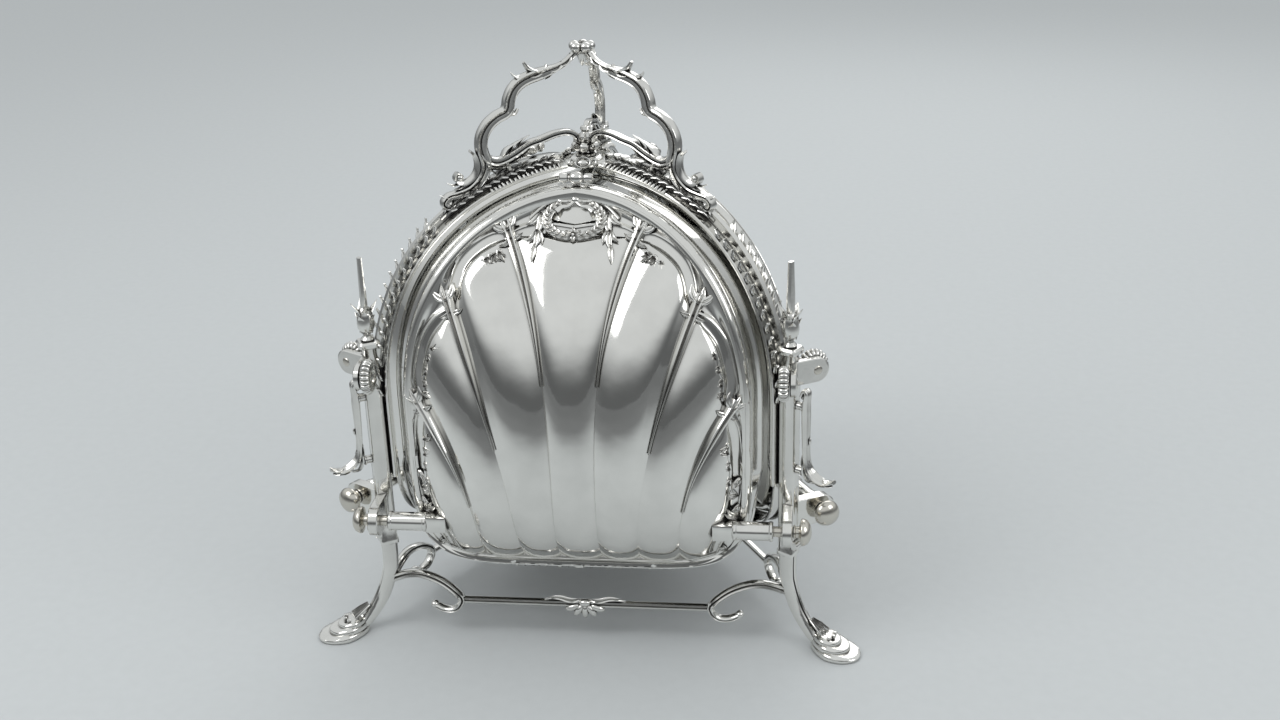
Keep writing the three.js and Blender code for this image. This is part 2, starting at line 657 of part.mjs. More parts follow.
// Front right post: bar, collar, foot ledge, and a hinge lug and a tab towards each neighbouring bowl
function makePost() {
  const box = (depth, width, from, to) => new THREE.BoxGeometry(depth, width, to - from)
    .translate(POST_RING, 0, (from + to) / 2).rotateZ(CORNER_TURN);
  const parts = [
    box(POST_DEPTH, POST_WIDTH, POST_FOOT_Z, POST_TOP_Z - COLLAR_HEIGHT),
    box(POST_DEPTH + 2 * COLLAR_LIP, POST_WIDTH + 2 * COLLAR_LIP, POST_TOP_Z - COLLAR_HEIGHT, POST_TOP_Z),
    box(POST_DEPTH + COLLAR_LIP, POST_WIDTH + COLLAR_LIP * 2, POST_FOOT_Z, POST_FOOT_Z + COLLAR_HEIGHT),
  ];
  const curl = new THREE.CylinderGeometry(2.2, 2.2, POST_WIDTH - 1, 8);
  parts.push(curl.translate(POST_RING + POST_DEPTH / 2 + 0.8, 0, POST_FOOT_Z + 6).rotateZ(CORNER_TURN));
  const holes = [];
  const postOut = POST_RING * COS60;
  for (const side of [-1, 1]) {
    const place = (geometry) => (side > 0 ? geometry : geometry.scale(-1, 1, 1).rotateZ(COPY_TURN));
    parts.push(place(eyePlate(LUG_INNER, LUG_THICK, postOut, HINGE_OUT, HINGE_Z, LUG_RADIUS)));
    parts.push(place(eyePlate(TAB_INNER, TAB_THICK, postOut, ROUNDEL_OUT, ROUNDEL_Z, TAB_RADIUS)));
    holes.push(place(rod(PIN_RADIUS + SEAT_GAP, LUG_INNER - 1, LUG_INNER + LUG_THICK + 1, 10)
      .translate(0, -HINGE_OUT, HINGE_Z)));
    holes.push(place(rod(RIVET_RADIUS + SEAT_GAP, TAB_INNER - 1, TAB_INNER + TAB_THICK + 1, 8)
      .translate(0, -ROUNDEL_OUT, ROUNDEL_Z)));
  }
  return joined(parts.map(facingOut), holes.map(facingOut));
}

// A mirrored mesh has its faces turned in: this turns them out again
function facingOut(geometry) {
  const bare = geometry.clone();
  bare.deleteAttribute('normal');
  bare.deleteAttribute('uv');
  const merged = mergeVertices(bare, 1e-4);
  const place = merged.attributes.position;
  const corners = Array.from({ length: place.count }, (_, i) => new THREE.Vector3().fromBufferAttribute(place, i));
  const faces = [];
  for (let i = 0; i < merged.index.count; i += 3) {
    faces.push([0, 1, 2].map((j) => merged.index.getX(i + j)));
  }
  return closedMesh(corners, faces);
}

// Leaf bracket: an upright strip on two pegs beside the post, with a hooked top and a curled leaf at its foot
function makeLeafBracket() {
  const face = POST_RING + POST_DEPTH / 2 + SEAT_GAP;
  const middle = face + LEAF_GAP + LEAF_THICK / 2;
  const side = vec(0, -1, 0);
  const strip = radialCurve([
    [middle - 2.2, LEAF_TOP_Z - 1.6], [middle - 1, LEAF_TOP_Z + 1.2], [middle + 0.6, LEAF_TOP_Z],
    [middle, LEAF_TOP_Z - 6], [middle, mix(LEAF_FOOT_Z, LEAF_TOP_Z, 0.55)], [middle + 0.4, LEAF_FOOT_Z + 13],
    [middle + 2.4, LEAF_FOOT_Z + 5.6], [middle + LEAF_REACH * 0.55, LEAF_FOOT_Z + 1.6],
    [middle + LEAF_REACH * 0.9, LEAF_FOOT_Z + 3.4],
  ], 16);
  const thick = (t) => (t < 0.25 ? mix(1.6, LEAF_THICK, t * 4) : mix(LEAF_THICK, 1.8, (t - 0.25) / 0.75));
  const lower = radialCurve([
    [middle, LEAF_FOOT_Z + 12], [middle - 0.6, LEAF_FOOT_Z + 5], [middle + 1.4, LEAF_FOOT_Z + 0.6], [middle + 5, LEAF_FOOT_Z],
  ], 5);
  const peg = (z) => rod(LEAF_PEG_RADIUS, face, middle, 8).translate(0, 0, z);
  return joined([
    bar(strip, side, RIDGED, LEAF_WIDTH, thick),
    bar(lower, side, RIDGED, LEAF_WIDTH * 0.9, (t) => mix(3.4, 2, t)),
    peg(mix(LEAF_FOOT_Z, LEAF_TOP_Z, 0.84)), peg(LEAF_FOOT_Z + 5),
  ]).rotateZ(CORNER_TURN);
}

// Bud and flat spear on the post's collar
function makePostFinial() {
  const base = POST_TOP_Z + SEAT_GAP;
  const top = base + FINIAL_HEIGHT;
  const bud = turned([
    [0, base], [2.8, base], [2, base + 2.5], [FINIAL_BUD, base + 7], [FINIAL_BUD * 0.8, base + 12],
    [1.8, base + 16], [0, base + 17],
  ], 6).translate(POST_RING, 0, 0);
  const spear = bar([
    vec(POST_RING, 0, base + 12), vec(POST_RING, 0, base + 18), vec(POST_RING, 0, base + 23),
    vec(POST_RING, 0, base + 29), vec(POST_RING, 0, top),
  ], vec(0, 1, 0), RIDGED, (t) => [2.4, 2.6, 5.4, 4.2, 0.6][Math.round(t * 4)], (t) => mix(2.6, 1.2, t));
  const leaves = [-1, 1].map((side) => bar(
    [vec(POST_RING, side * 1.5, base + 5), vec(POST_RING, side * 4.6, base + 10), vec(POST_RING, side * 5.4, base + 15)],
    vec(1, 0, 0), RIDGED, (t) => mix(4.5, 1.4, t), (t) => mix(3, 1, t),
  ));
  return joined([bud, spear, ...leaves]).rotateZ(CORNER_TURN);
}

// Half arch: a strap with a web under it, from the post to the boss at the crest
function makeArch() {
  const half = STRAP_WIDTH / 2;
  const web = WEB_WIDTH / 2;
  const under = -STRAP_THICK / 2;
  const section = [
    [-half, under], [-web, under], [-web, under - WEB_DEPTH], [web, under - WEB_DEPTH], [web, under],
    [half, under], [half - 1, -under], [-half + 1, -under],
  ];
  const post = [vec(ARCH_REACH + under, 0, ARCH_FOOT_Z), vec(ARCH_REACH + under, 0, (ARCH_FOOT_Z + SPRING_Z) / 2)];
  const crest = archPath(under, ARCH_REACH + under, CREST_BOSS_RADIUS + SEAT_GAP, 16);
  return bar([...post, ...crest], vec(0, -1, 0), section, 1, 1).rotateZ(CORNER_TURN);
}

// Boss where the half arches meet, with a blank oval cartouche towards each bowl
function makeCrestBoss() {
  const base = ARCH_CREST_Z - STRAP_THICK;
  const top = base + CREST_BOSS_HEIGHT;
  const edge = CREST_BOSS_RADIUS;
  const parts = [turned([[0, base], [edge, base], [edge, base + STRAP_THICK], [edge * 0.6, top], [0, top]], 12)];
  for (let i = 0; i < 3; i += 1) {
    const oval = new THREE.SphereGeometry(0.5, 8, 4).scale(CARTOUCHE_WIDTH, 2.6, CARTOUCHE_HEIGHT);
    const middle = base + CARTOUCHE_HEIGHT / 2 + 0.1;
    parts.push(oval.translate(0, -edge + 0.6, middle).rotateZ(i * COPY_TURN));
  }
  return joined(parts);
}

// Scrolled handle arm: rail on the arch, cusped main bar, outer and inner scrolls, low arc to the boss
function makeHandleArm() {
  const side = vec(0, -1, 0);
  const half = HANDLE_BAR / 2;
  const rail = archPath(SEAT_GAP + RAIL_THICK / 2, RAIL_START, RAIL_END, 7);
  const high = (share) => mix(ARCH_CREST_Z, HANDLE_TOP_Z - FINIAL_DROP, share);
  const overArch = (radius, raised) => [radius, archHeight(radius, ARCH_REACH, ARCH_RISE) + raised];
  const lobe = HANDLE_LOBE - half;
  const shoulder = HANDLE_SHOULDER - half;
  const main = radialCurve([
    [FINIAL_STEM + 2 * SEAT_GAP, high(1)], [lobe * 0.17, high(0.998)], [lobe * 0.29, high(0.973)],
    [lobe * 0.52, high(0.94)], [lobe * 0.74, high(0.94)], [lobe * 0.945, high(0.85)], [lobe, high(0.7)],
    [mix(lobe, shoulder, 0.03), high(0.6)], [mix(lobe, shoulder, 0.36), high(0.54)],
    [mix(lobe, shoulder, 0.77), high(0.46)], [shoulder, high(0.317)], [shoulder - 0.4, high(0.17)],
    [shoulder + 0.6, high(0.02)], overArch(shoulder + 4.1, 10.8), overArch(shoulder + 8.1, SEAT_GAP + 3),
  ], 19);
  const neck = mix(lobe, shoulder, 0.03);
  const cusp = radialCurve([[neck, high(0.602)], [neck - 4.5, high(0.566)], [neck - 5.5, high(0.645)]], 3);
  const crocket = radialCurve([
    [lobe * 0.63, high(0.961)], [lobe * 0.76, high(1.045)], [lobe * 0.83, high(0.984)],
  ], 3);
  const volute = radialCurve([
    [shoulder + 2.1, high(-0.057)], [shoulder + 7.1, high(-0.131)], [shoulder + 12.6, high(-0.124)],
    [shoulder + 14.9, high(-0.034)], [shoulder + 11.9, high(0.014)],
  ], 7);
  const loop = radialCurve([
    overArch(RAIL_START - 2, 1.4), overArch(RAIL_START + 0.8, 4.7), overArch(RAIL_START - 1, 7.5),
    overArch(RAIL_START - 5.2, 5.1),
  ], 5);
  const scroll = radialCurve([
    [shoulder + 0.1, high(0.113)], [shoulder - 4.9, high(0.036)], overArch(40, 11.4), overArch(33.5, 9.6),
    overArch(29, 12), overArch(24, 15.4), overArch(18, 16.4), overArch(12, 15.6),
    overArch(HANDLE_BOSS_RADIUS + SEAT_GAP + 1.4, 10.8),
  ], 12);
  const leaf = radialCurve([overArch(36, 8.8), overArch(29, 7.5), overArch(22, 9.2), overArch(19, 12)], 3);
  const prop = radialCurve([overArch(36, 1.6), overArch(38, 10)], 1);
  const thin = (t) => mix(HANDLE_BAR * 0.85, HANDLE_BAR * 0.5, t);
  return joined([
    bar(rail, side, SQUARE, HANDLE_WIDTH, RAIL_THICK),
    bar(main, side, RIDGED, HANDLE_WIDTH, HANDLE_BAR),
    bar(cusp, side, SQUARE, HANDLE_WIDTH - 1, 2.2),
    bar(crocket, side, SQUARE, HANDLE_WIDTH - 1, 2),
    bar(volute, side, SQUARE, HANDLE_WIDTH - 0.6, thin),
    bar(loop, side, SQUARE, HANDLE_WIDTH - 0.8, thin),
    bar(scroll, side, SQUARE, HANDLE_WIDTH - 0.4, (t) => mix(HANDLE_BAR, HANDLE_BAR * 0.7, t)),
    bar(leaf, side, SQUARE, HANDLE_WIDTH + 1, (t) => mix(3, 1.2, t)),
    bar(prop, side, SQUARE, HANDLE_WIDTH - 1, 3),
  ]).rotateZ(CORNER_TURN);
}

// Palmette boss on the axis, which the arms' low arcs meet
function makeHandleBoss() {
  const base = ARCH_CREST_Z - STRAP_THICK + CREST_BOSS_HEIGHT + SEAT_GAP;
  const wide = HANDLE_BOSS_RADIUS;
  return turned([
    [0, base], [wide, base], [wide, base + 1.5], [wide * 0.5, base + 3.5], [wide * 0.9, base + 6],
    [wide * 0.9, base + HANDLE_BOSS_HEIGHT], [wide * 0.35, base + HANDLE_BOSS_HEIGHT + 1.2],
    [wide * 0.5, base + HANDLE_BOSS_HEIGHT + 3], [0, base + HANDLE_BOSS_HEIGHT + 4.4],
  ], 8);
}

// Rosette where the arms meet over the axis
function makeHandleFinial() {
  const top = HANDLE_TOP_Z;
  return turned([
    [0, top - FINIAL_DROP - 2.7], [FINIAL_STEM, top - FINIAL_DROP - 1.2], [FINIAL_STEM, top - FINIAL_DROP + 4.3],
    [FINIAL_STEM * 1.77, top - 5], [FINIAL_STEM * 2, top - 3],
    [2.4, top - 2.6], [2.2, top - 0.8], [0, top],
  ], 8);
}

// One C-scroll bracket from the leg to the stretcher's end, on the right of the front
function bracket() {
  const end = STRETCHER_HALF + SEAT_GAP;
  const path = curve([
    vec(98, -58, 26), vec(89, -60, 30), vec(81, -62, 31), vec(71.5, -64, 28.4),
    vec(end + 3.2, -STRETCHER_OUT, 23.6), vec(end + 0.7, -STRETCHER_OUT, STRETCHER_Z),
    vec(end + 4, -STRETCHER_OUT, 14.6), vec(70.5, -65.4, 13.6), vec(76, -64.6, 15.6),
  ], 12);
  return bar(path, vec(0, -1, 0), RIDGED, BRACKET_WIDTH, (t) => mix(BRACKET_THICK, BRACKET_THICK * 0.8, t));
}

// Leg: cabriole bar down to a hoof, with a bracket towards each neighbouring stretcher
function makeLeg() {
  const top = POST_FOOT_Z - SEAT_GAP;
  const path = radialCurve([
    [POST_RING, top], [POST_RING, 38], [POST_RING + 1, 30], [POST_RING + 6, 17], [ANKLE_RADIUS, 6.4], [ANKLE_RADIUS + 5, 3.4],
  ], 8);
  const shank = bar(path, vec(0, -1, 0), RIDGED, LEG_WIDTH, (t) => mix(LEG_TOP_DEPTH, LEG_ANKLE_DEPTH, t));
  const hoofSteps = [
    [ANKLE_RADIUS + 1, 0.45, 0.8], [ANKLE_RADIUS + 5, 0.9, 1], [ANKLE_RADIUS + 12, 1, 0.85],
    [TOE_RADIUS - 7, 0.9, 0.62], [TOE_RADIUS - 2, 0.62, 0.4], [TOE_RADIUS, 0.3, 0.2],
  ];
  const rings = hoofSteps.map(([radius, wide, high]) => {
    const half = (HOOF_WIDTH / 2) * wide;
    const tall = HOOF_HEIGHT * high;
    return [[-half, 0], [half, 0], [half, tall * 0.45], [half * 0.5, tall], [-half * 0.5, tall], [-half, tall * 0.45]]
      .map(([y, z]) => vec(radius, y, z));
  });
  const hoof = loft(rings, [[-1, 0], [1, 0], [1, 0.45], [0.5, 1], [-0.5, 1], [-1, 0.45]]);
  const right = bracket();
  const left = facingOut(bracket().scale(-1, 1, 1).rotateZ(COPY_TURN));
  return joined([shank.rotateZ(CORNER_TURN), hoof.rotateZ(CORNER_TURN), right, left]);
}

// Stretcher under the bowl, with a palmette in its middle
function makeStretcher() {
  const place = (x) => vec(x, -STRETCHER_OUT, STRETCHER_Z);
  const rail = bar([place(-STRETCHER_HALF), place(0), place(STRETCHER_HALF)], vec(0, -1, 0), RIDGED, STRETCHER_BAR, STRETCHER_BAR);
  const leaves = [-2, 0, 2].map((leaf) => {
    const lobe = new THREE.SphereGeometry(0.5, 6, 4).scale(4.4, 4.6, PALMETTE_HEIGHT * 0.62);
    const lean = leaf * 0.42;
    const reach = PALMETTE_WIDTH * 0.36;
    return lobe.translate(0, 0, -PALMETTE_HEIGHT * 0.3).rotateY(-lean)
      .translate((reach * leaf) / 2, -STRETCHER_OUT, STRETCHER_Z + 1.5);
  });
  return joined([rail, ...leaves]);
}

const assembly = new THREE.Group();

function addPiece(name, geometry, material, turn = 0) {
  const piece = new THREE.Mesh(geometry, material);
  piece.name = name;
  piece.rotation.z = turn;
  assembly.add(piece);
}

const bowlSkin = makeBowl();
const lidSkin = makeLid();
const faces = ['front', 'right', 'left'];
faces.forEach((face, i) => {
  const turn = i * COPY_TURN;
  addPiece(`${face}_bowl`, bowlSkin, plate(), turn);
  addPiece(`${face}_thumb_piece`, makeThumbPiece(), plate(), turn);
  addPiece(`${face}_lid`, lidSkin, gilt(), turn);
  addPiece(`${face}_lid_hinge_pin`, makeLidPin(), dulled(), turn);
  for (const [name, side] of [['left', -1], ['right', 1]]) {
    addPiece(`${face}_${name}_hinge_pin`, makePin(side), plate(), turn);
    addPiece(`${face}_${name}_roundel`, makeRoundel(side), plate(), turn);
    addPiece(`${face}_${name}_rivet`, makeRivet(side), dulled(), turn);
  }
  addPiece(`${face}_stretcher`, makeStretcher(), plate(), turn);
});
const corners = ['front_right', 'rear', 'front_left'];
corners.forEach((corner, i) => {
  const turn = i * COPY_TURN;
  addPiece(`${corner}_post`, makePost(), plate(), turn);
  addPiece(`${corner}_post_finial`, makePostFinial(), plate(), turn);
  addPiece(`${corner}_leaf_bracket`, makeLeafBracket(), plate(), turn);
  addPiece(`${corner}_half_arch`, makeArch(), plate(), turn);
  addPiece(`${corner}_leg`, makeLeg(), plate(), turn);
  addPiece(`${corner}_handle_arm`, makeHandleArm(), plate(), turn);
});
addPiece('crest_boss', makeCrestBoss(), plate());
addPiece('handle_boss', makeHandleBoss(), plate());
addPiece('handle_finial', makeHandleFinial(), plate());

// The origin is on the floor, in the middle of the box that holds the whole piece
assembly.updateMatrixWorld(true);
const middle = new THREE.Box3().setFromObject(assembly, true).getCenter(new THREE.Vector3());
assembly.position.set(-middle.x, -middle.y, 0);

export default assembly;
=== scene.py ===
"""Folding biscuit box of silver plate on three feet: its looks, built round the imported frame.

Sizes are real millimetres about the upright axis of the box, the front bowl facing -Y. Each piece is
modelled once for the front face or the front right corner, then copied and turned to its places.
"""

import json
import logging
import math
from collections.abc import Callable, Sequence
from dataclasses import dataclass, field
from enum import Enum

import bpy
from mathutils import Matrix, Vector
from mathutils.geometry import convex_hull_2d

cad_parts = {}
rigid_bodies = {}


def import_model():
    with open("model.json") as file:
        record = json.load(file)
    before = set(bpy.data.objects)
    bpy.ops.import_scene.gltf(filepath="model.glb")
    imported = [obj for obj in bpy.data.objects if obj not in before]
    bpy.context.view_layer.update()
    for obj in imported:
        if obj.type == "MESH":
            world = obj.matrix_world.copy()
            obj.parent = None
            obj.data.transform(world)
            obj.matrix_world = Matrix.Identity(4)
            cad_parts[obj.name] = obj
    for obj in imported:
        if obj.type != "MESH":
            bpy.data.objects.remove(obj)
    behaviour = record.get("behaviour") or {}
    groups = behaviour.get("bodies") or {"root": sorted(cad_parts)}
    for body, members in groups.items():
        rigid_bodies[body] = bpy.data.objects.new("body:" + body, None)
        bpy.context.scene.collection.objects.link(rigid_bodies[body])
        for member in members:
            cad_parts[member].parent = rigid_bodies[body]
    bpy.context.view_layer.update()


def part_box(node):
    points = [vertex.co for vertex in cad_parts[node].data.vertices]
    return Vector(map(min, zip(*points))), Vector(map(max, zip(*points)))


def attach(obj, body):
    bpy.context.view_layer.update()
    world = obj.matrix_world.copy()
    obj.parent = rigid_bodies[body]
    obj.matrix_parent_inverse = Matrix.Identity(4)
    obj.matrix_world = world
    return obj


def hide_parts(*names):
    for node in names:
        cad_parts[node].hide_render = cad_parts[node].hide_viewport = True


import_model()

log = logging.getLogger("biscuit_box")

MM = 0.001
# Settings that many shader nodes share
EASED = {"interpolation_type": "SMOOTHSTEP"}
COLOURS = {"data_type": "RGBA"}
# Points closer than this many millimetres are one
MERGE_GAP = 0.003
SIN60 = math.sin(math.pi / 3)
COS60 = 0.5
ROUND_SHARE = COS60**2 / SIN60
FACES = {"front": 0, "right": 120, "left": 240}
CORNERS = {"front_right": 0, "rear": 120, "front_left": 240}
CORNER_TURN = -30
FRONTWARD = Vector((0, -1, 0))
UPWARD = Vector((0, 0, 1))

Model = bpy.types.Object
Material = bpy.types.Material
Tree = bpy.types.NodeTree
Socket = bpy.types.NodeSocket
Change = Callable[[float], float]
Taper = float | Change
Pair = tuple[float, float]
Point = Sequence[float]


class Slot(Enum):
    """The record's material slots."""

    PLATE = "silver_plate"
    CAST = "cast_silver"
    PIN = "pin_metal"


def mix(a: float, b: float, share: float) -> float:
    """Value that share of the way from a to b."""
    return a + (b - a) * share


def smooth(share: float) -> float:
    """Share from 0 to 1 with soft ends."""
    s = min(1.0, max(0.0, share))
    return s * s * (3 - 2 * s)


def spread(value: Taper, share: float) -> float:
    """A size that may change along a piece, at that share of it."""
    return value(share) if callable(value) else value


def taper(start: float, end: float) -> Change:
    """Size that changes evenly from a piece's start to its end."""
    return lambda share: mix(start, end, share)


def swell(ends: float, middle: float) -> Change:
    """Size that is greatest in the middle of a piece."""
    return lambda share: mix(ends, middle, math.sin(math.pi * share))


def clear_selection() -> None:
    """Leave edit mode and deselect everything."""
    if bpy.context.mode != "OBJECT":
        bpy.ops.object.mode_set(mode="OBJECT")
    bpy.ops.object.select_all(action="DESELECT")


def pick(model: Model) -> Model:
    """Make the model the only selected and the active object.

    Args:
        model: The model to pick.

    Returns:
        The same model.
    """
    clear_selection()
    model.select_set(True)
    bpy.context.view_layer.objects.active = model
    return model


def heal(model: Model, close: bool = True) -> Model:
    """Merge doubles, close open ends and turn all faces outward.

    Args:
        model: The mesh to heal.
        close: Whether open ends get a face.

    Returns:
        The same model.
    """
    pick(model)
    bpy.ops.object.mode_set(mode="EDIT")
    bpy.ops.mesh.select_all(action="SELECT")
    bpy.ops.mesh.remove_doubles(threshold=MERGE_GAP)
    if close:
        bpy.ops.mesh.fill_holes(sides=0)
    bpy.ops.mesh.normals_make_consistent(inside=False)
    bpy.ops.object.mode_set(mode="OBJECT")
    return model


def join(name: str, parts: Sequence[Model]) -> Model:
    """Join several meshes into one model of that name.

    Args:
        name: Name of the whole.
        parts: The meshes, of which the first takes in the others.

    Returns:
        The whole.
    """
    pick(parts[0])
    for part in parts:
        part.select_set(True)
    bpy.ops.object.join()
    model = bpy.context.object
    model.name = name
    return model


def copied(model: Model, place: Matrix) -> Model:
    """A copy of the model with its own mesh, carried to another place.

    Args:
        model: The pattern.
        place: Carries the pattern to its copy.

    Returns:
        The copy.
    """
    pick(model)
    bpy.ops.object.duplicate()
    copy = bpy.context.object
    copy.data.transform(place)
    if place.determinant() < 0:
        copy.data.flip_normals()
    return copy


def remove(model: Model) -> None:
    """Delete a model that has served as a pattern."""
    bpy.data.objects.remove(model)


def add_form(name: str, columns: int, rows: int, place: Callable[[float, float], Vector]) -> Model:
    """Grid whose points are carried to a formed sheet, as sculpted work has no plain primitive.

    Args:
        name: Name of the model.
        columns: Faces across.
        rows: Faces along.
        place: Gives the point for a share across and a share along.

    Returns:
        The formed sheet.
    """
    clear_selection()
    bpy.ops.mesh.primitive_grid_add(x_subdivisions=columns, y_subdivisions=rows, size=1)
    model = bpy.context.object
    model.name = name
    for vertex in model.data.vertices:
        vertex.co = place(vertex.co.x + 0.5, vertex.co.y + 0.5)
    return model


def add_rings(name: str, rings: Sequence[Sequence[Vector]], close: bool = True) -> Model:
    """Skin over rings that all have as many points, with its ends closed or left open.

    Args:
        name: Name of the model.
        rings: The rings from end to end.
        close: Whether the ends are closed.

    Returns:
        The skin.
    """
    columns = len(rings[0])
    rows = len(rings) - 1
    model = add_form(
        name, columns, rows, lambda u, v: rings[round(v * rows)][round(u * columns) % columns]
    )
    return heal(model, close)


def add_bar(
    name: str,
    path: Sequence[Vector],
    section: Sequence[Pair],
    width: Taper,
    thick: Taper,
    across: Vector | None = None,
    ups: Sequence[Vector] | Vector | None = None,
) -> Model:
    """Bar along a path.

    Args:
        name: Name of the model.
        path: Points of its middle line.
        section: Outline of the bar, one unit wide and high, x across and y up.
        width: Size across, which may change along the path.
        thick: Size upward, which may change along the path.
        across: Direction across a bar that bends in one plane.
        ups: Direction away from the ground, at each point or for the whole bar, when it is laid on a surface.

    Returns:
        The closed bar.
    """
    last = len(path) - 1
    if isinstance(ups, Vector):
        ups = [ups] * len(path)
    rings = []
    for i, point in enumerate(path):
        along = (path[min(i + 1, last)] - path[max(i - 1, 0)]).normalized()
        side = along.cross(ups[i]).normalized() if ups else (across - along * across.dot(along)).normalized()
        up = side.cross(along)
        wide = spread(width, i / last)
        high = spread(thick, i / last)
        rings.append([point + side * (x * wide) + up * (y * high) for x, y in section])
    return add_rings(name, rings)


def add_turned(name: str, profile: Sequence[Pair], steps: int = 32) -> Model:
    """Piece turned about Z by extruding a profile point by point and spinning it.

    Args:
        name: Name of the model.
        profile: Radius and height of each point, from end to end.
        steps: Facets round.

    Returns:
        The closed turned piece.
    """
    clear_selection()
    bpy.ops.mesh.primitive_plane_add(size=1)
    model = bpy.context.object
    model.name = name
    bpy.ops.object.mode_set(mode="EDIT")
    bpy.ops.mesh.merge(type="CENTER")
    here = Vector((profile[0][0], 0, profile[0][1]))
    bpy.ops.transform.translate(value=here)
    for radius, height in profile[1:]:
        there = Vector((radius, 0, height))
        bpy.ops.mesh.extrude_vertices_move(TRANSFORM_OT_translate={"value": there - here})
        here = there
    bpy.ops.mesh.select_all(action="SELECT")
    bpy.ops.mesh.spin(steps=steps, angle=2 * math.pi, center=(0, 0, 0), axis=(0, 0, 1))
    bpy.ops.object.mode_set(mode="OBJECT")
    return heal(model)


def add_ball(centre: Point, radii: Point, segments: int = 16) -> Model:
    """Small cast bead, drawn out to its three half sizes.

    Args:
        centre: Its middle.
        radii: Its half sizes.
        segments: Facets round.

    Returns:
        The bead.
    """
    clear_selection()
    bpy.ops.mesh.primitive_uv_sphere_add(segments=segments, ring_count=segments // 2, radius=1)
    bead = bpy.context.object
    bead.data.transform(Matrix.Translation(centre) @ Matrix.Diagonal((*radii, 1)))
    return bead


def add_block(name: str, size: Point, centre: Point, edge: float) -> Model:
    """Block with its edges rounded by a bevel.

    Args:
        name: Name of the model.
        size: Its three sizes.
        centre: Its middle.
        edge: Width of the bevel.

    Returns:
        The block.
    """
    clear_selection()
    bpy.ops.mesh.primitive_cube_add(size=1)
    block = bpy.context.object
    block.name = name
    block.data.transform(Matrix.Translation(centre) @ Matrix.Diagonal((*size, 1)))
    bpy.ops.object.mode_set(mode="EDIT")
    bpy.ops.mesh.select_all(action="SELECT")
    bpy.ops.mesh.bevel(offset=edge, segments=2, affect="EDGES")
    bpy.ops.object.mode_set(mode="OBJECT")
    return block


def lay(model: Model, centre: Point, degrees: float = 90, about: str = "Y") -> Model:
    """Turn a model about an axis through the origin, then carry it to its place."""
    model.data.transform(Matrix.Translation(centre) @ Matrix.Rotation(math.radians(degrees), 4, about))
    return model


def smooth_path(marks: Sequence[Point], steps: int) -> list[Vector]:
    """Evenly stepped points on a smooth curve through the given ones.

    Args:
        marks: Points that the curve goes through.
        steps: Number of steps.

    Returns:
        One point more than there are steps.
    """
    points = [Vector(mark) for mark in marks]
    fine = []
    fine_steps = 12
    last = len(points) - 1
    for i in range(last):
        before = points[i - 1] if i else points[0] * 2 - points[1]
        after = points[i + 2] if i + 2 <= last else points[last] * 2 - points[last - 1]
        for k in range(fine_steps):
            t = k / fine_steps
            fine.append(0.5 * (
                2 * points[i] + (points[i + 1] - before) * t
                + (2 * before - 5 * points[i] + 4 * points[i + 1] - after) * t**2
                + (3 * points[i] - before - 3 * points[i + 1] + after) * t**3
            ))
    fine.append(points[last].copy())
    lengths = [0.0]
    for a, b in zip(fine, fine[1:]):
        lengths.append(lengths[-1] + (b - a).length)
    even = []
    index = 0
    for i in range(steps + 1):
        wanted = lengths[-1] * i / steps
        while index < len(fine) - 2 and lengths[index + 1] < wanted:
            index += 1
        span = max(1e-9, lengths[index + 1] - lengths[index])
        even.append(fine[index].lerp(fine[index + 1], min(1.0, (wanted - lengths[index]) / span)))
    return even


def radial_path(pairs: Sequence[Pair], steps: int) -> list[Vector]:
    """Smooth path in the plane through the axis, given as distance from the axis and height."""
    return smooth_path([(radius, 0, height) for radius, height in pairs], steps)


def plane_bar(
    name: str, pairs: Sequence[Pair], steps: int, section: Sequence[Pair], width: Taper, thick: Taper
) -> Model:
    """Bar along a smooth path in the plane through the axis."""
    return add_bar(name, radial_path(pairs, steps), section, width, thick, across=FRONTWARD)


def bowed(root: Pair, tip: Pair, bow: float) -> list[Pair]:
    """Root, middle and tip of a leaf whose middle is moved sideways by a share of its length."""
    run, rise = tip[0] - root[0], tip[1] - root[1]
    return [root, (mix(root[0], tip[0], 0.5) + rise * bow, mix(root[1], tip[1], 0.5) - run * bow), tip]


def both_ways(half: Sequence[Pair]) -> list[Pair]:
    """Whole profile of a turned piece from its end half, radius and distance from the middle."""
    return [(radius, -along) for radius, along in reversed(half) if along > 0] + list(half)


def round_section(sides: int) -> list[Pair]:
    """Outline of a round bar, one unit across."""
    turns = [math.tau * i / sides for i in range(sides)]
    return [(0.5 * math.cos(turn), 0.5 * math.sin(turn)) for turn in turns]


def mirrored(half: Sequence[Pair]) -> list[Pair]:
    """Whole outline from its right half, listed from bottom to top."""
    return list(half) + [(-x, y) for x, y in reversed(half) if x > 0]


# A bar with a stout outer and a slimmer inner moulding, and a groove between them on each side
REEDED = mirrored([
    (0, -0.5), (0.2, -0.47), (0.36, -0.38), (0.4, -0.26), (0.34, -0.15), (0.2, -0.08), (0.24, -0.04),
    (0.44, 0.04), (0.5, 0.2), (0.42, 0.36), (0.22, 0.47), (0, 0.5),
])
# A scroll with a round rod along its outer edge, a channel and a broad inner band on each side
SCROLL = mirrored([
    (0, -0.5), (0.24, -0.5), (0.4, -0.45), (0.44, -0.38), (0.38, -0.32), (0.36, -0.16), (0.38, 0.0),
    (0.24, 0.06), (0.22, 0.14), (0.42, 0.2), (0.5, 0.32), (0.42, 0.45), (0.24, 0.5), (0, 0.5),
])
# A leaf with a midrib and two rounded halves over a flat back
LEAF = mirrored([
    (0, -0.2), (0.34, -0.22), (0.5, -0.08), (0.42, 0.16), (0.26, 0.28), (0.1, 0.18), (0.04, 0.42), (0, 0.5),
])
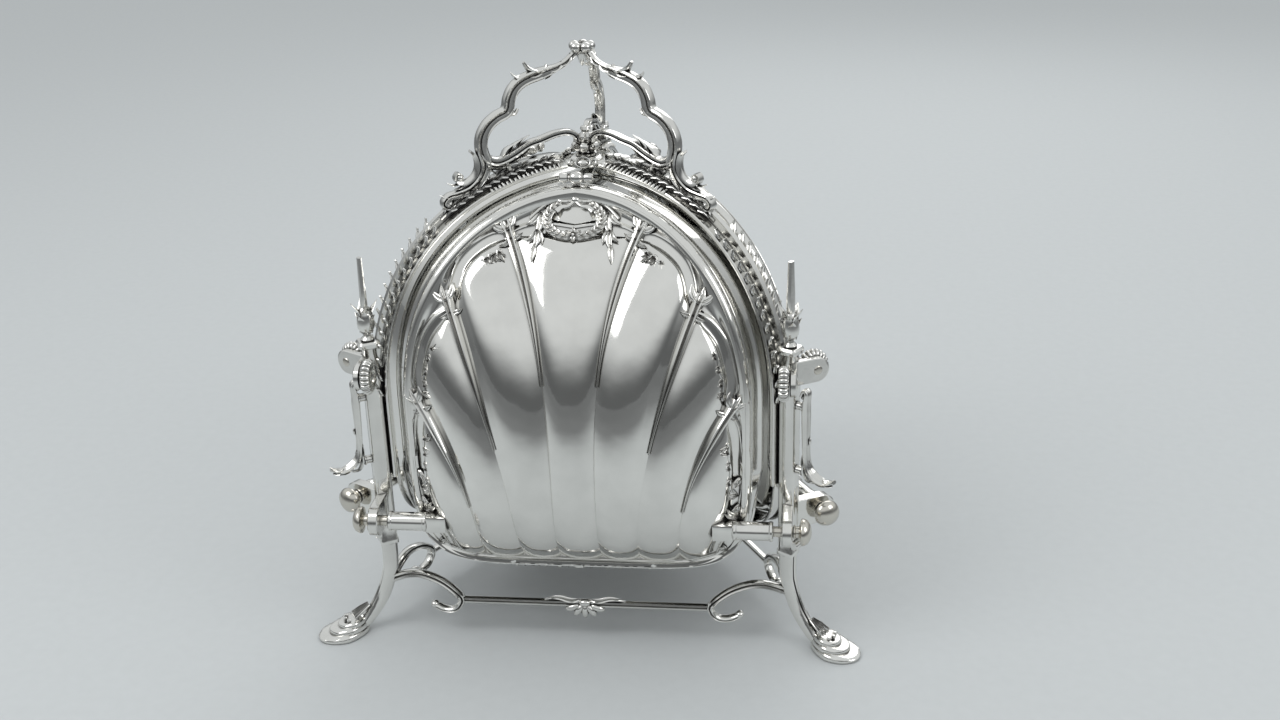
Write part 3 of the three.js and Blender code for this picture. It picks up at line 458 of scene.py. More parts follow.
# A ridge with a crease along its crown
CREASED = mirrored([
    (0, -0.5), (0.5, -0.5), (0.42, 0.06), (0.26, 0.42), (0.14, 0.44), (0.05, 0.18), (0, 0.14),
])
ROUND = round_section(12)
SLIM_ROUND = round_section(8)


def leaf_width(wide: float) -> Change:
    """Width of a leaf along its length, narrow at the root and pointed at the tip."""
    return lambda share: wide * max(0.08, math.sin(math.pi * share**0.75) ** 0.8)


@dataclass(frozen=True)
class Dome:
    """The dome that the half arches draw, the edges of a bowl in it, and the lines that pieces share."""

    post_ring: float = 114
    post_depth: float = 8
    post_width: float = 7.5
    seat_gap: float = 0.3
    spring_z: float = 120
    arch_rise: float = 107
    arch_power: float = 2.3
    strap_thick: float = 2.4
    rim_inset: float = 6.1
    rim_offset: float = 2
    wall_depth: float = 16
    crest_round: float = 25
    wall_flare: float = 1.2
    base_z: float = 42.6
    base_power: float = 5.6
    base_edge_out: float = 66
    lower_rim_out: float = 57
    rim_turn_z: float = 92
    knuckle_rise: float = 20
    turn_height: Pair = (12, 45)
    hinge_out: float = 74
    hinge_z: float = 67.4
    lid_pin_out: float = 57.5
    lid_hinge_z: float = 55
    roundel_out: float = 70
    roundel_z: float = 141
    stretcher_out: float = 66
    stretcher_z: float = 19.7
    stretcher_half: float = 60.5

    @property
    def reach(self) -> float:
        """Distance from the axis to the outer face of the straps."""
        return self.post_ring - self.post_depth / 2 - self.seat_gap

    def height(self, radius: float, raised: float = 0) -> float:
        """Height of the straps' outer face at that distance from the axis, plus raised."""
        share = 1 - (radius / self.reach) ** self.arch_power
        return self.spring_z + self.arch_rise * share ** (1 / self.arch_power) + raised

    def path(self, raised: float, start: float, end: float, steps: int) -> list[Vector]:
        """Points over the arch, from one distance from the axis to another.

        Args:
            raised: Height above the straps.
            start: Its start, out from the axis.
            end: Its end, out from the axis.
            steps: Number of steps.

        Returns:
            The points.
        """
        reach = self.reach + raised
        rise = self.arch_rise + raised
        first = math.acos(min(1.0, (start / reach) ** (self.arch_power / 2)))
        last = math.acos((end / reach) ** (self.arch_power / 2))
        points = []
        for i in range(steps + 1):
            turn = mix(first, last, i / steps)
            radius = reach * math.cos(turn) ** (2 / self.arch_power)
            points.append(Vector((radius, 0, self.spring_z + rise * math.sin(turn) ** (2 / self.arch_power))))
        return points

    def stations(
        self, raised: float, start: float, end: float, steps: int
    ) -> list[tuple[Vector, Vector, Vector]]:
        """Points over the arch without its ends, each with the directions along and away from the arch.

        Args:
            raised: Height above the straps.
            start: Its start, out from the axis.
            end: Its end, out from the axis.
            steps: Number of steps of the path.

        Returns:
            Point, direction along and direction away for each.
        """
        path = self.path(raised, start, end, steps)
        stations = []
        for before, here, after in zip(path, path[1:], path[2:]):
            along = (after - before).normalized()
            up = Vector((-along.z, 0, along.x))
            if up.z < 0:
                up.negate()
            stations.append((here, along, up))
        return stations

    def arch_size(self, share: float) -> Pair:
        """Reach and rise of a bowl's edge, from its rim (0) to its moulding (1).

        Args:
            share: 0 at the rim, 1 at the moulding.

        Returns:
            Reach and rise.
        """
        reach = self.reach - self.strap_thick - self.rim_inset
        rise = self.arch_rise - self.strap_thick - self.rim_inset
        return reach + share * self.wall_flare, rise + 3 * share * self.wall_flare

    def round_at(self, depth: float) -> float:
        """How broadly a line at that depth rounds its turn at the crest."""
        return self.crest_round * max(0.0, (depth - self.rim_offset) / (self.wall_depth - self.rim_offset))

    def beside(self, radius: float, depth: float) -> Pair:
        """Where a line at that depth lies across and out, at a distance along the arch's plane.

        Args:
            radius: Distance along the arch's plane.
            depth: Distance of the line from that plane.

        Returns:
            Distance across and out.
        """
        along = radius - COS60 * depth / SIN60
        rounding = ROUND_SHARE * math.hypot(along, self.round_at(depth) * math.sqrt(2 / 3))
        x = max(0.0, 1.5 * (SIN60 * along - rounding))
        return x, (radius - SIN60 * x) / COS60

    def edge(self, share: float, depth: float, grow: float, part: float) -> Vector:
        """Point of the bowl's band in the front face, on its right half.

        Args:
            share: From the rim's curve (0) to the moulding's (1).
            depth: Distance from the middle plane of the arch.
            grow: How far the point stands out of the band.
            part: -1 at the middle of the base, 0 at the springing and 1 at the crest.

        Returns:
            The point as x across, distance out and height.
        """
        reach, rise = self.arch_size(share)
        reach += grow
        rise += grow
        mitre = COS60 * depth / SIN60 + ROUND_SHARE * self.round_at(depth)
        turn = max(0.0, part) * math.acos((mitre / reach) ** (self.arch_power / 2))
        x, out = self.beside(reach * math.cos(turn) ** (2 / self.arch_power), depth)
        if part >= 0:
            return Vector((x, out, self.spring_z + rise * math.sin(turn) ** (2 / self.arch_power)))
        down = -part * math.pi / 2
        z = self.spring_z - (self.spring_z - self.base_z + grow) * math.sin(down) ** (2 / self.base_power)
        turn_z = mix(self.rim_turn_z, self.hinge_z + self.knuckle_rise, share)
        lower_out = mix(self.lower_rim_out, self.base_edge_out, share)
        lower = mix(out, lower_out, smooth((turn_z - z) / mix(*self.turn_height, share)))
        drawn_in = max(0.0, (lower - out) * math.tan(math.pi / 6))
        wide = 0.0 if part <= -1 else (x - drawn_in) * math.cos(down) ** (2 / self.base_power)
        return Vector((wide, lower, z))


DOME = Dome()


@dataclass(frozen=True)
class Place:
    """Where the models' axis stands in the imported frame, and how a finished piece is handed to it."""

    axis: Vector

    def hand_over(
        self,
        model: Model,
        name: str,
        turn: float,
        body: str,
        finish: Material,
        nodes: Sequence[str],
        crease: float = 35,
    ) -> Model:
        """Put a copy of a model in its place in the frame.

        Args:
            model: The model, in millimetres about the axis.
            name: Name of the finished piece.
            turn: Degrees about the axis.
            body: The body that it rides on.
            finish: Its material.
            nodes: The plain nodes that it stands for.
            crease: Edges sharper than this many degrees stay crisp.

        Returns:
            The finished piece.
        """
        spot = Matrix.Translation(self.axis) @ Matrix.Scale(MM, 4)
        piece = copied(model, spot @ Matrix.Rotation(math.radians(turn), 4, "Z"))
        piece.name = name
        piece.data.materials.clear()
        piece.data.materials.append(finish)
        pick(piece)
        bpy.ops.object.shade_smooth_by_angle(angle=math.radians(crease))
        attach(piece, body)
        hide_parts(*nodes)
        log.info("%s: %d faces, rides on %s", name, len(piece.data.polygons), body)
        return piece


@dataclass
class Bowl:
    """A shell-embossed bowl: seven lobes, a scalloped lip, a moulding, a plain wall band and knuckles."""

    belly_out: float = 87
    belly_z: float = 100
    crest_drop: float = 54
    base_drop: float = 27
    side_fullness: float = 3.5
    low_z: float = 41
    shell_foot_z: float = 47
    middle: Vector = field(default_factory=lambda: Vector((0, 0, 110)))
    flute_depth: float = 3.8
    flute_depth_low: float = 2.2
    flute_power: float = 2.4
    groove_share: float = 0.4
    roll_width: float = 5.5
    roll_share: float = 0.7
    half_lobes: float = 3.5
    row_power: float = 1.7
    crest_power: float = 2.2
    base_power: float = 3.2
    bead_width: float = 5.5
    sheet: float = 1.2
    lip_band: float = 5
    columns: int = 126
    rows: int = 54
    barrel_radius: float = 4.8
    barrel_start: float = 73
    barrel_end: float = 92
    block_start: float = 64
    # Each lobe's outline from notch to notch, across and up, beginning with half of the middle one
    scallops: tuple[tuple[Pair, ...], ...] = (
        ((0, 206.5), (14, 208), (24, 206.5), (29.5, 204)),
        ((29.5, 204), (37, 204.5), (46, 200), (53, 193), (56.5, 183), (56, 174)),
        ((56, 174), (63.5, 169.5), (70, 161), (73.5, 150), (75, 139), (72, 128)),
        ((72, 128), (76, 118), (77.3, 105), (77.4, 92), (76.2, 80), (74.8, 72)),
    )
    # At each half lobe: how far across its line stands at the foot, and how it bends outward on its way up
    feet: tuple[float, ...] = (0, 10, 19, 28, 38, 47.5, 56.5, 63)
    bends: tuple[float, ...] = (2, 4, 2.6, 1.9, 2, 2.4, 1.9, 1.4)
    # The lip's band from the pillow's edge to the lip's top: share across it and height
    band: tuple[Pair, ...] = (
        (0.05, -1.7), (0.12, -2.15), (0.25, -2.2), (0.42, -1.95), (0.6, -1.75), (0.76, -1.6), (0.84, -1.4),
        (0.9, -0.5), (0.95, 0.0), (1, 0.15),
    )
    # Beyond the lip: distance and height
    beyond: tuple[Pair, ...] = ((0.5, 0.0), (0.9, -0.7), (1.15, -1.35), (1.5, -1.5))
    # The moulding from its inner to its outer foot: share across it and how far it stands out
    moulding: tuple[Pair, ...] = (
        (-1, -0.6), (-0.94, 0.3), (-0.87, 0.72), (-0.79, 0.62), (-0.73, 0.25), (-0.62, 0.85), (-0.42, 1.35),
        (-0.15, 1.58), (0.15, 1.58), (0.42, 1.35), (0.62, 0.85), (0.73, 0.25), (0.79, 0.62), (0.87, 0.72),
        (0.94, 0.35), (1, 0),
    )
    # The wall band and the rolled rim: depth and how far they stand out
    wall: tuple[Pair, ...] = (
        (12.4, 0), (10, 0), (7.5, 0), (5, 0), (3.6, 0), (3.3, 0.35), (2.7, 0.6), (2.1, 0.35), (2, -0.2),
    )
    paths: list[list[Vector]] = field(init=False)

    def __post_init__(self) -> None:
        """Draw the smooth outline of each lobe."""
        self.paths = [radial_path(scallop, 60) for scallop in self.scallops]

    def beside_moulding(self, z: float) -> Pair:
        """How far across and out the moulding lies at a height above the springing.

        Args:
            z: The height.

        Returns:
            Distance across and out.
        """
        reach, rise = DOME.arch_size(1)
        left = max(0.0, 1 - ((z - DOME.spring_z) / rise) ** DOME.arch_power)
        return DOME.beside(reach * left ** (1 / DOME.arch_power), DOME.wall_depth)

    def half_width(self, z: float) -> float:
        """Half the distance between the moulding's sides at a height.

        Args:
            z: The height.

        Returns:
            The half distance.
        """
        if z >= DOME.spring_z:
            return max(1.0, self.beside_moulding(z)[0])
        down = min(0.999, (DOME.spring_z - z) / (DOME.spring_z - DOME.base_z))
        return DOME.edge(1, DOME.wall_depth, 0, 0).x * (1 - down**DOME.base_power) ** (1 / DOME.base_power)

    def moulding_out(self, z: float) -> float:
        """How far out the moulding lies at a height.

        Args:
            z: The height.

        Returns:
            The distance out.
        """
        crest = DOME.edge(1, DOME.wall_depth, 0, 1)
        if z >= crest.z:
            return crest.y
        if z >= DOME.spring_z:
            return self.beside_moulding(z)[1]
        side = DOME.edge(1, DOME.wall_depth, 0, 0).y
        turned = smooth((DOME.hinge_z + DOME.knuckle_rise - z) / DOME.turn_height[1])
        return mix(side, DOME.base_edge_out, turned)

    def middle_out(self, z: float) -> float:
        """How far out the shell lies on its middle line.

        Args:
            z: The height.

        Returns:
            The distance out.
        """
        if z >= self.belly_z:
            crest = DOME.edge(1, DOME.wall_depth, 0, 1).z
            up = min(1.0, (z - self.belly_z) / (crest - self.belly_z))
            return self.belly_out - self.crest_drop * up**self.crest_power
        down = (self.belly_z - z) / (self.belly_z - self.low_z)
        return self.belly_out - self.base_drop * down**self.base_power

    def plain_out(self, x: float, z: float) -> float:
        """How far out the shell lies before it is embossed."""
        share = min(1.0, abs(x) / self.half_width(z))
        return mix(self.middle_out(z), self.moulding_out(z), share**self.side_fullness)

    def on_shell(self, x: float, z: float, lift: float) -> Vector:
        """Point on the plain shell, lifted outward."""
        return Vector((x, -self.plain_out(x, z) - lift, z))

    def normal(self, x: float, z: float) -> Vector:
        """Direction straight out of the plain shell.

        Args:
            x: Place across.
            z: Height.

        Returns:
            The direction.
        """
        along_x = self.on_shell(x + 0.5, z, 0) - self.on_shell(x - 0.5, z, 0)
        along_z = self.on_shell(x, z + 0.5, 0) - self.on_shell(x, z - 0.5, 0)
        return along_x.cross(along_z).normalized()

    def outline(self, lobe: float) -> Vector:
        """Point of the scalloped lip, across and up; whole lobes are the crowns and halves the notches.

        Args:
            lobe: Place along the shell's edge.

        Returns:
            The point.
        """
        place = abs(lobe)
        index = min(3, int(place + 0.5))
        share = place * 2 if index == 0 else place + 0.5 - index
        path = self.paths[index]
        spot = min(share, 1.0) * (len(path) - 1)
        low = min(int(spot), len(path) - 2)
        point = path[low].lerp(path[low + 1], spot - low)
        return Vector((point.x * (-1 if lobe < 0 else 1), 0, point.z))

    def line(self, lobe: float) -> tuple[float, float, float]:
        """Foot across, foot height and bend of the line that a lobe's point draws down the shell.

        Args:
            lobe: Place along the shell's edge.

        Returns:
            The three values.
        """
        place = abs(lobe) * 2
        index = min(len(self.feet) - 2, int(place))
        share = place - index
        foot = mix(self.feet[index], self.feet[index + 1], share)
        bend = mix(self.bends[index], self.bends[index + 1], share)
        raised = 5 * smooth(abs(lobe) - 2.5)
        return foot, self.shell_foot_z + raised, bend

    def away(self, lobe: float) -> Vector:
        """Direction across the lip's band, outward in the face's plane.

        Args:
            lobe: Place along the shell's edge.

        Returns:
            The direction.
        """
        side = -1 if lobe < 0 else 1
        step = 0.02
        place = abs(lobe)
        index = min(3, int(place + 0.5))
        low = 0.0 if index == 0 else index - 0.5 + 0.001
        high = index + 0.5 - 0.001
        tangent = self.outline(min(high, place + step)) - self.outline(max(low, place - step))
        normal = Vector((-tangent.z, 0, tangent.x)).normalized()
        if normal.dot(self.outline(place) - self.middle) < 0:
            normal.negate()
        if place < 3:
            foot, foot_z, bend = self.line(place)
            edge = self.outline(place)
            groove = Vector(((edge.x - foot) * bend, 0, edge.z - foot_z)).normalized()
            near = smooth((abs(place - index) - 0.37) / 0.12)
            normal = normal.lerp(groove, near).normalized()
        return Vector((normal.x * side, 0, normal.z))

    def pillow_edge(self, lobe: float) -> Vector:
        """Edge of the raised pillow, inside the lip's band.

        Args:
            lobe: Place along the shell's edge.

        Returns:
            The point, across and up.
        """
        place = abs(lobe)
        near = smooth((abs(place - round(place)) - 0.33) / 0.16) if place < 3 else 0.0
        return self.outline(lobe) - self.away(lobe) * (self.lip_band * (1 - 0.4 * near))

    def pillow(self, lobe: float, rise: float) -> Vector:
        """Point of the embossed shell, from its foot (0) to its edge (1).

        Args:
            lobe: Place along the shell's edge.
            rise: Share of the way up.

        Returns:
            The point.
        """
        foot, foot_z, bend = self.line(lobe)
        edge = self.pillow_edge(lobe)
        side = -1 if lobe < 0 else 1
        x = mix(foot * side, edge.x, rise**bend)
        z = mix(foot_z, edge.z, rise)
        off = abs(lobe - round(lobe)) * 2
        crown = 1 - off**self.flute_power
        near = max(0.0, 1 - (1 - rise) * (edge.z - foot_z) / self.roll_width)
        rolled = self.roll_share * (1 - math.sqrt(1 - near * near))
        depth = mix(self.flute_depth_low, self.flute_depth, rise)
        return self.on_shell(x, z, depth * (crown * (1 - rolled) - self.groove_share))

    def part_towards(self, point: Vector) -> float:
        """Where the moulding meets a ray from the shell's centre through a point, as its part.

        Args:
            point: The point, across and up.

        Returns:
            The part.
        """
        if abs(point.x) < 1e-4:
            return 1.0 if point.z > DOME.spring_z else -1.0
        wanted = math.atan2(point.z - DOME.spring_z, abs(point.x))
        low, high = -1.0, 1.0
        halvings = 30
        for _ in range(halvings):
            part = (low + high) / 2
            edge = DOME.edge(1, DOME.wall_depth, 0, part)
            if math.atan2(edge.z - DOME.spring_z, edge.x) < wanted:
                low = part
            else:
                high = part
        return (low + high) / 2

    def chain(self, lobe: float, rise: float, across: Vector, wide: float, deep: float) -> list[Vector]:
        """Points from the pillow's edge out over lip, ground, moulding and wall band to the rim.

        Args:
            lobe: Place along the shell's edge.
            rise: 1 at the scalloped edge, 0 at the foot.
            across: Outward direction in the face's plane.
            wide: Width of the lip's band here.
            deep: How strongly the lip is embossed here.

        Returns:
            The chain of points, which is as long for every place.
        """
        start = self.pillow(lobe, rise)
        lip = Vector((start.x, 0, start.z)) + across * wide
        part = self.part_towards(lip)
        side = -1 if start.x < 0 else 1
        half = self.bead_width / 2

        def band(depth: float, share: float, grow: float) -> Vector:
            """Point of the rim, wall or moulding beside this place, on its side of the face."""
            edge = DOME.edge(share, depth, grow, part)
            return Vector((edge.x * side, -edge.y, edge.z))

        foot = band(DOME.wall_depth + half, 1, self.moulding[0][1])
        points = [start]
        for share, height in self.band:
            x = mix(start.x, lip.x, share)
            z = mix(start.z, lip.z, share)
            level = mix(-self.groove_share * self.flute_depth_low, height, deep)
            points.append(self.on_shell(x, z, level))
        gap = math.hypot(foot.x - lip.x, foot.z - lip.z)
        ground = [min(distance, gap * 0.22 * (i + 1)) for i, (distance, _) in enumerate(self.beyond)]
        levels = [height for _, height in self.beyond]
        for i in range(1, 5):
            ground.append(mix(ground[3], gap, i / 5))
            levels.append(levels[3])
        for distance, height in zip(ground, levels):
            share = distance / max(gap, 1e-6)
            flat = lip.lerp(foot, share)
            plain = self.on_shell(flat.x, flat.z, mix(-0.5, height, deep))
            plain.y = mix(plain.y, foot.y, smooth(share))
            points.append(plain)
        for share, grow in self.moulding:
            points.append(band(DOME.wall_depth - share * half, 1, grow))
        for depth, grow in self.wall:
            share = (depth - DOME.rim_offset) / (DOME.wall_depth - half - DOME.rim_offset)
            points.append(band(depth, max(0.0, share), grow))
        return points

    def border(self) -> list[list[Vector]]:
        """Chains all the way round the pillow, from the left end of its foot.

        Returns:
            The chains in order.
        """
        chains = []
        half = self.half_lobes
        for i in range(self.columns):
            lobe = mix(-half, half, i / self.columns)
            corner = smooth((abs(lobe) - 2.8) / 0.7)
            lean = Vector((0.75 * math.copysign(corner, lobe), 0, mix(-1, -0.65, corner))).normalized()
            away = lean if corner else -UPWARD
            chains.append(self.chain(lobe, 0, away, mix(1.6, 2.4, corner), mix(0.2, 0.5, corner)))
        rises = [1 - (1 - row / self.rows) ** self.row_power for row in range(self.rows + 1)]
        sides = []
        for side, steps in ((1, rises[:-1]), (-1, rises[:0:-1])):
            sides.append([])
            for rise in steps:
                lean = Vector((0.75, 0, -0.65)).lerp(self.away(half), smooth(rise)).normalized()
                lean.x *= side
                wide, deep = mix(2.4, self.lip_band, rise), mix(0.5, 1, rise)
                sides[-1].append(self.chain(half * side, rise, lean, wide, deep))
        over = []
        for i in range(self.columns):
            lobe = mix(half, -half, i / self.columns)
            wide = (self.outline(lobe) - self.pillow_edge(lobe)).length
            over.append(self.chain(lobe, 1, self.away(lobe), wide, 1))
        return [*chains, *sides[0], *over, *sides[1]]

    def add_shell(self) -> Model:
        """The embossed sheet with its moulding and wall band, given its thickness inward.

        Returns:
            The sheet.
        """
        chains = self.border()
        rings = [[chain[i] for chain in chains] for i in range(len(chains[0]))]
        frame_part = add_rings("shell_border", rings, close=False)
        patch = add_form(
            "shell", self.columns, self.rows,
            lambda u, v: self.pillow(self.half_lobes * (2 * u - 1), 1 - (1 - v) ** self.row_power),
        )
        shell = heal(join("shell", [patch, frame_part]), close=False)
        belly = Vector((0, -self.belly_out, self.belly_z))
        middle = min(shell.data.polygons, key=lambda face: (face.center - belly).length)
        if middle.normal.y > 0:
            shell.data.flip_normals()
        pick(shell)
        bpy.ops.object.modifier_add(type="SOLIDIFY")
        shell.modifiers[-1].thickness = self.sheet
        shell.modifiers[-1].offset = -1
        bpy.ops.object.modifier_apply(modifier=shell.modifiers[-1].name)
        return shell

    def strip(
        self,
        places: Sequence[Pair],
        width: Taper,
        thick: Taper,
        lift: float,
        section: Sequence[Pair],
        steps: int,
    ) -> Model:
        """Bar laid on the shell through points across and up, its middle lifted off the plain shell.

        Args:
            places: Points across and up.
            width: Its width.
            thick: Its thickness.
            lift: How far its middle is lifted.
            section: Its outline.
            steps: Number of steps.

        Returns:
            The bar.
        """
        flat = radial_path(places, steps)
        path = [self.on_shell(point.x, point.z, lift) for point in flat]
        ups = [self.normal(point.x, point.z) for point in flat]
        return add_bar("strip", path, section, width, thick, ups=ups)

    def leaf(self, root: Pair, tip: Pair, width: float, lift: float, bend: float = 0) -> Model:
        """Chased leaf on the shell, from its root to its tip, bowed sideways."""
        return self.strip(bowed(root, tip, bend), leaf_width(width), taper(1.9, 0.7), lift, LEAF, 5)

    def fan(
        self, root: Pair, lean: float, spread_angle: float, lengths: Sequence[float], lift: float
    ) -> list[Model]:
        """Leaves that spread from one root, like a chased acanthus tip.

        Args:
            root: Where the leaves meet.
            lean: Degrees of the middle leaf from upright.
            spread_angle: Degrees between the outer leaves.
            lengths: Length of each leaf.
            lift: How far they are lifted.

        Returns:
            The leaves.
        """
        leaves = []
        for i, length in enumerate(lengths):
            turn = math.radians(lean + spread_angle * (i / max(1, len(lengths) - 1) - 0.5))
            tip = (root[0] + length * math.sin(turn), root[1] + length * math.cos(turn))
            leaves.append(self.leaf(root, tip, 0.42 * length, lift, 0.12 * math.copysign(1, turn)))
        return leaves

    def add_ridges(self) -> list[Model]:
        """Creased ridges that rise in the grooves between the lobes and flare into forked tips.

        Returns:
            The ridges and their tips.
        """
        ridges = []
        for place, start, beyond in ((0.5, 0.62, 5.5), (1.5, 0.52, 7), (2.5, 0.42, 5)):
            for side in (-1, 1):
                lobe = place * side
                away = self.away(lobe)
                tip = self.outline(lobe) + away * beyond
                places = []
                for i in range(9):
                    point = self.pillow(lobe, mix(start, 1, i / 8))
                    places.append((point.x, point.z))
                places.append((tip.x, tip.z))
                ridges.append(self.strip(
                    places, lambda s: mix(0.8, 5.6, smooth(s * 1.15)) + 2 * smooth((s - 0.9) / 0.1),
                    lambda s: mix(0.6, 4.2, smooth(s * 1.3)), 0.0, CREASED, 34,
                ))
                lean = math.degrees(math.atan2(away.x, away.z))
                root = self.outline(lobe) + away * (beyond - 3.2)
                ridges += self.fan((root.x, root.z), lean, 84, (8.4, 7, 8.4), 1.5)
                low = self.outline(lobe) - away * 1.5
                ridges += self.fan((low.x, low.z), lean, 190, (6, 6), 0.7)
        return ridges

    def add_wreath(self) -> list[Model]:
        """Wreath of leaves tied with a bow, over the middle lobe, with a small flower in it.

        Returns:
            The wreath's pieces.
        """
        centre_z, wide, tall = 210.2, 12.8, 6.6
        pieces = []
        for side in (-1, 1):
            for i in range(13):
                turn = math.radians(mix(-88, 74, i / 12))
                root = (side * wide * math.cos(turn), centre_z + tall * math.sin(turn))
                ahead = math.radians(mix(-88, 74, i / 12) + 21)
                for out in (0.82, 1.2):
                    tip = (side * wide * out * math.cos(ahead), centre_z + tall * out * math.sin(ahead))
                    pieces.append(self.leaf(root, tip, 2.9, 1.5))
            loop = [
                (0, 217.4), (side * 3.6, 219.2), (side * 7, 219), (side * 7.4, 217), (side * 3.6, 216.8),
                (0, 217.2),
            ]
            pieces.append(self.strip(loop, 2.1, 1.4, 1.6, ROUND, 14))
            tail = [(0, 217), (side * 3.2, 215), (side * 6, 214.8), (side * 8.4, 213.2)]
            pieces.append(self.strip(tail, taper(1.6, 2.6), 1.2, 1.8, ROUND, 8))
            swag = [(side * 5, 217.6), (side * 11, 216.4), (side * 16, 213.8), (side * 20.4, 210.2)]
            pieces.append(self.strip(swag, 1.6, 1.4, 0.5, ROUND, 12))
            pieces += self.fan((side * 15.6, 212.6), side * 168, 84, (8, 9, 8), 1)
            pieces += self.fan((side * 16.8, 206.4), side * 172, 70, (6.4, 8, 6.4), 1.8)
            pieces.append(self.leaf((side * 17.4, 201), (side * 18.4, 193.6), 2.8, 2))
        pieces.append(add_ball(self.on_shell(0, 217.2, 1.4), (2, 1.6, 1.7)))
        for i in range(6):
            turn = math.radians(60 * i + 30)
            root = (0.5 * math.cos(turn), 204.6 + 0.3 * math.sin(turn))
            tip = (4.2 * math.cos(turn), 204.6 + 2.8 * math.sin(turn))
            pieces.append(self.leaf(root, tip, 2.4, 1.8))
        pieces.append(add_ball(self.on_shell(0, 204.6, 2.3), (0.9, 0.8, 0.8), 10))
        return pieces

    def add_sprigs(self) -> list[Model]:
        """Scrolling sprigs along the pillows' edges and leaf fans down the sides.

        Returns:
            The stems and leaves.
        """
        pieces = []
        for side in (-1, 1):
            for first, last, count in ((0.6, 0.86, 5), (1.86, 2.38, 8), (2.75, 3.2, 6)):
                stem = []
                for i in range(9):
                    point = self.pillow(side * mix(first, last, i / 8), 0.982 + 0.006 * math.sin(i * 1.7))
                    stem.append((point.x, point.z))
                pieces.append(self.strip(stem, 1.4, 1.4, 1.1, ROUND, 20))
                for i in range(count):
                    lobe = side * mix(first, last, (i + 0.3) / count)
                    root = self.pillow(lobe, 0.984)
                    inward = self.away(lobe) * -1
                    lean = math.degrees(math.atan2(inward.x, inward.z)) + (38 if i % 2 else -38)
                    pieces += self.fan((root.x, root.z), lean, 56, (3.8, 4.8, 3.8), 1.4)
            for x, z, lean, lengths in (
                (75.4, 84, -62, (5, 7, 8, 6)), (75.6, 72, -52, (5, 7, 7.6, 5.6)),
                (73.2, 61, -40, (4, 6, 6.6, 5)), (76, 93, -158, (4, 5.4, 4)), (75.6, 79, -165, (4, 5, 4)),
                (70, 53, -60, (3.4, 4.6, 4)),
            ):
                pieces += self.fan((side * x, z), side * lean, 64, lengths, -0.2)
        return pieces

    def add_knuckles(self) -> list[Model]:
        """Barrels that take the pins, with rolled ends, and the dark blocks that carry them.

        Returns:
            The barrels and blocks.
        """
        radius = self.barrel_radius
        start, end = self.barrel_start, self.barrel_end
        profile = [
            (0, start), (radius - 0.5, start), (radius, start + 0.5), (radius, start + 1.6),
            (radius - 0.35, start + 2), (radius - 0.35, end - 2), (radius, end - 1.6), (radius, end - 0.5),
            (radius - 0.5, end), (2.8, end), (2.8, end - 13), (0, end - 13),
        ]
        pieces = []
        for side in (-1, 1):
            pieces.append(lay(add_turned("barrel", profile), (0, -DOME.hinge_out, DOME.hinge_z), side * 90))
            size = (start - self.block_start + 1, 9, 8.4)
            centre = (side * (start + self.block_start) / 2, -DOME.hinge_out + 0.6, DOME.hinge_z)
            pieces.append(add_block("hinge_block", size, centre, 0.8))
        return pieces

    def add_ears(self) -> list[Model]:
        """Two ears at the foot that hold the lid's pin.

        Returns:
            The ears.
        """
        ears = []
        for side in (-1, 1):
            tall = DOME.lid_hinge_z - DOME.base_z + 2.4
            centre = (side * 31.55, -DOME.lid_pin_out, DOME.base_z + tall / 2)
            ears.append(add_block("lid_ear", (2.5, 4.8, tall), centre, 0.5))
        return ears

    def model(self) -> Model:
        """The whole bowl as one model."""
        parts = [self.add_shell(), *self.add_ridges(), *self.add_wreath(), *self.add_sprigs()]
        return join("bowl", parts + self.add_knuckles() + self.add_ears())

    def thumb_piece(self) -> Model:
        """Thumb bar on the moulding's crest: two dark-necked ends and an oval bead between them.

        Returns:
            The thumb piece on the front bowl.
        """
        crest = DOME.edge(1, DOME.wall_depth, 1.6, 1)
        centre = Vector((0, -crest.y - 1, crest.z + 3.4))
        half = [
            (3, 0), (2.8, 1.5), (2, 2.7), (1.2, 3.1), (1.1, 3.7), (1.9, 4), (2.1, 4.6), (2.1, 7.2),
            (1.7, 7.6), (0, 7.6),
        ]
        bar = lay(add_turned("thumb_bar", both_ways(half), 24), centre)
        feet = [
            add_block("thumb_foot", (1.6, 2.6, 2.6), centre + Vector((side * 5.6, 0.4, -1.5)), 0.4)
            for side in (-1, 1)
        ]
        return join("thumb_piece", [bar, *feet])


def plane_leaf(root: Pair, tip: Pair, width: float, thick: float, bow: float = 0.15) -> Model:
    """Cast leaf in the plane through the axis, from root to tip, bowed to one side."""
    return plane_bar("leaf", bowed(root, tip, bow), 6, LEAF, leaf_width(width), taper(thick, 0.5))


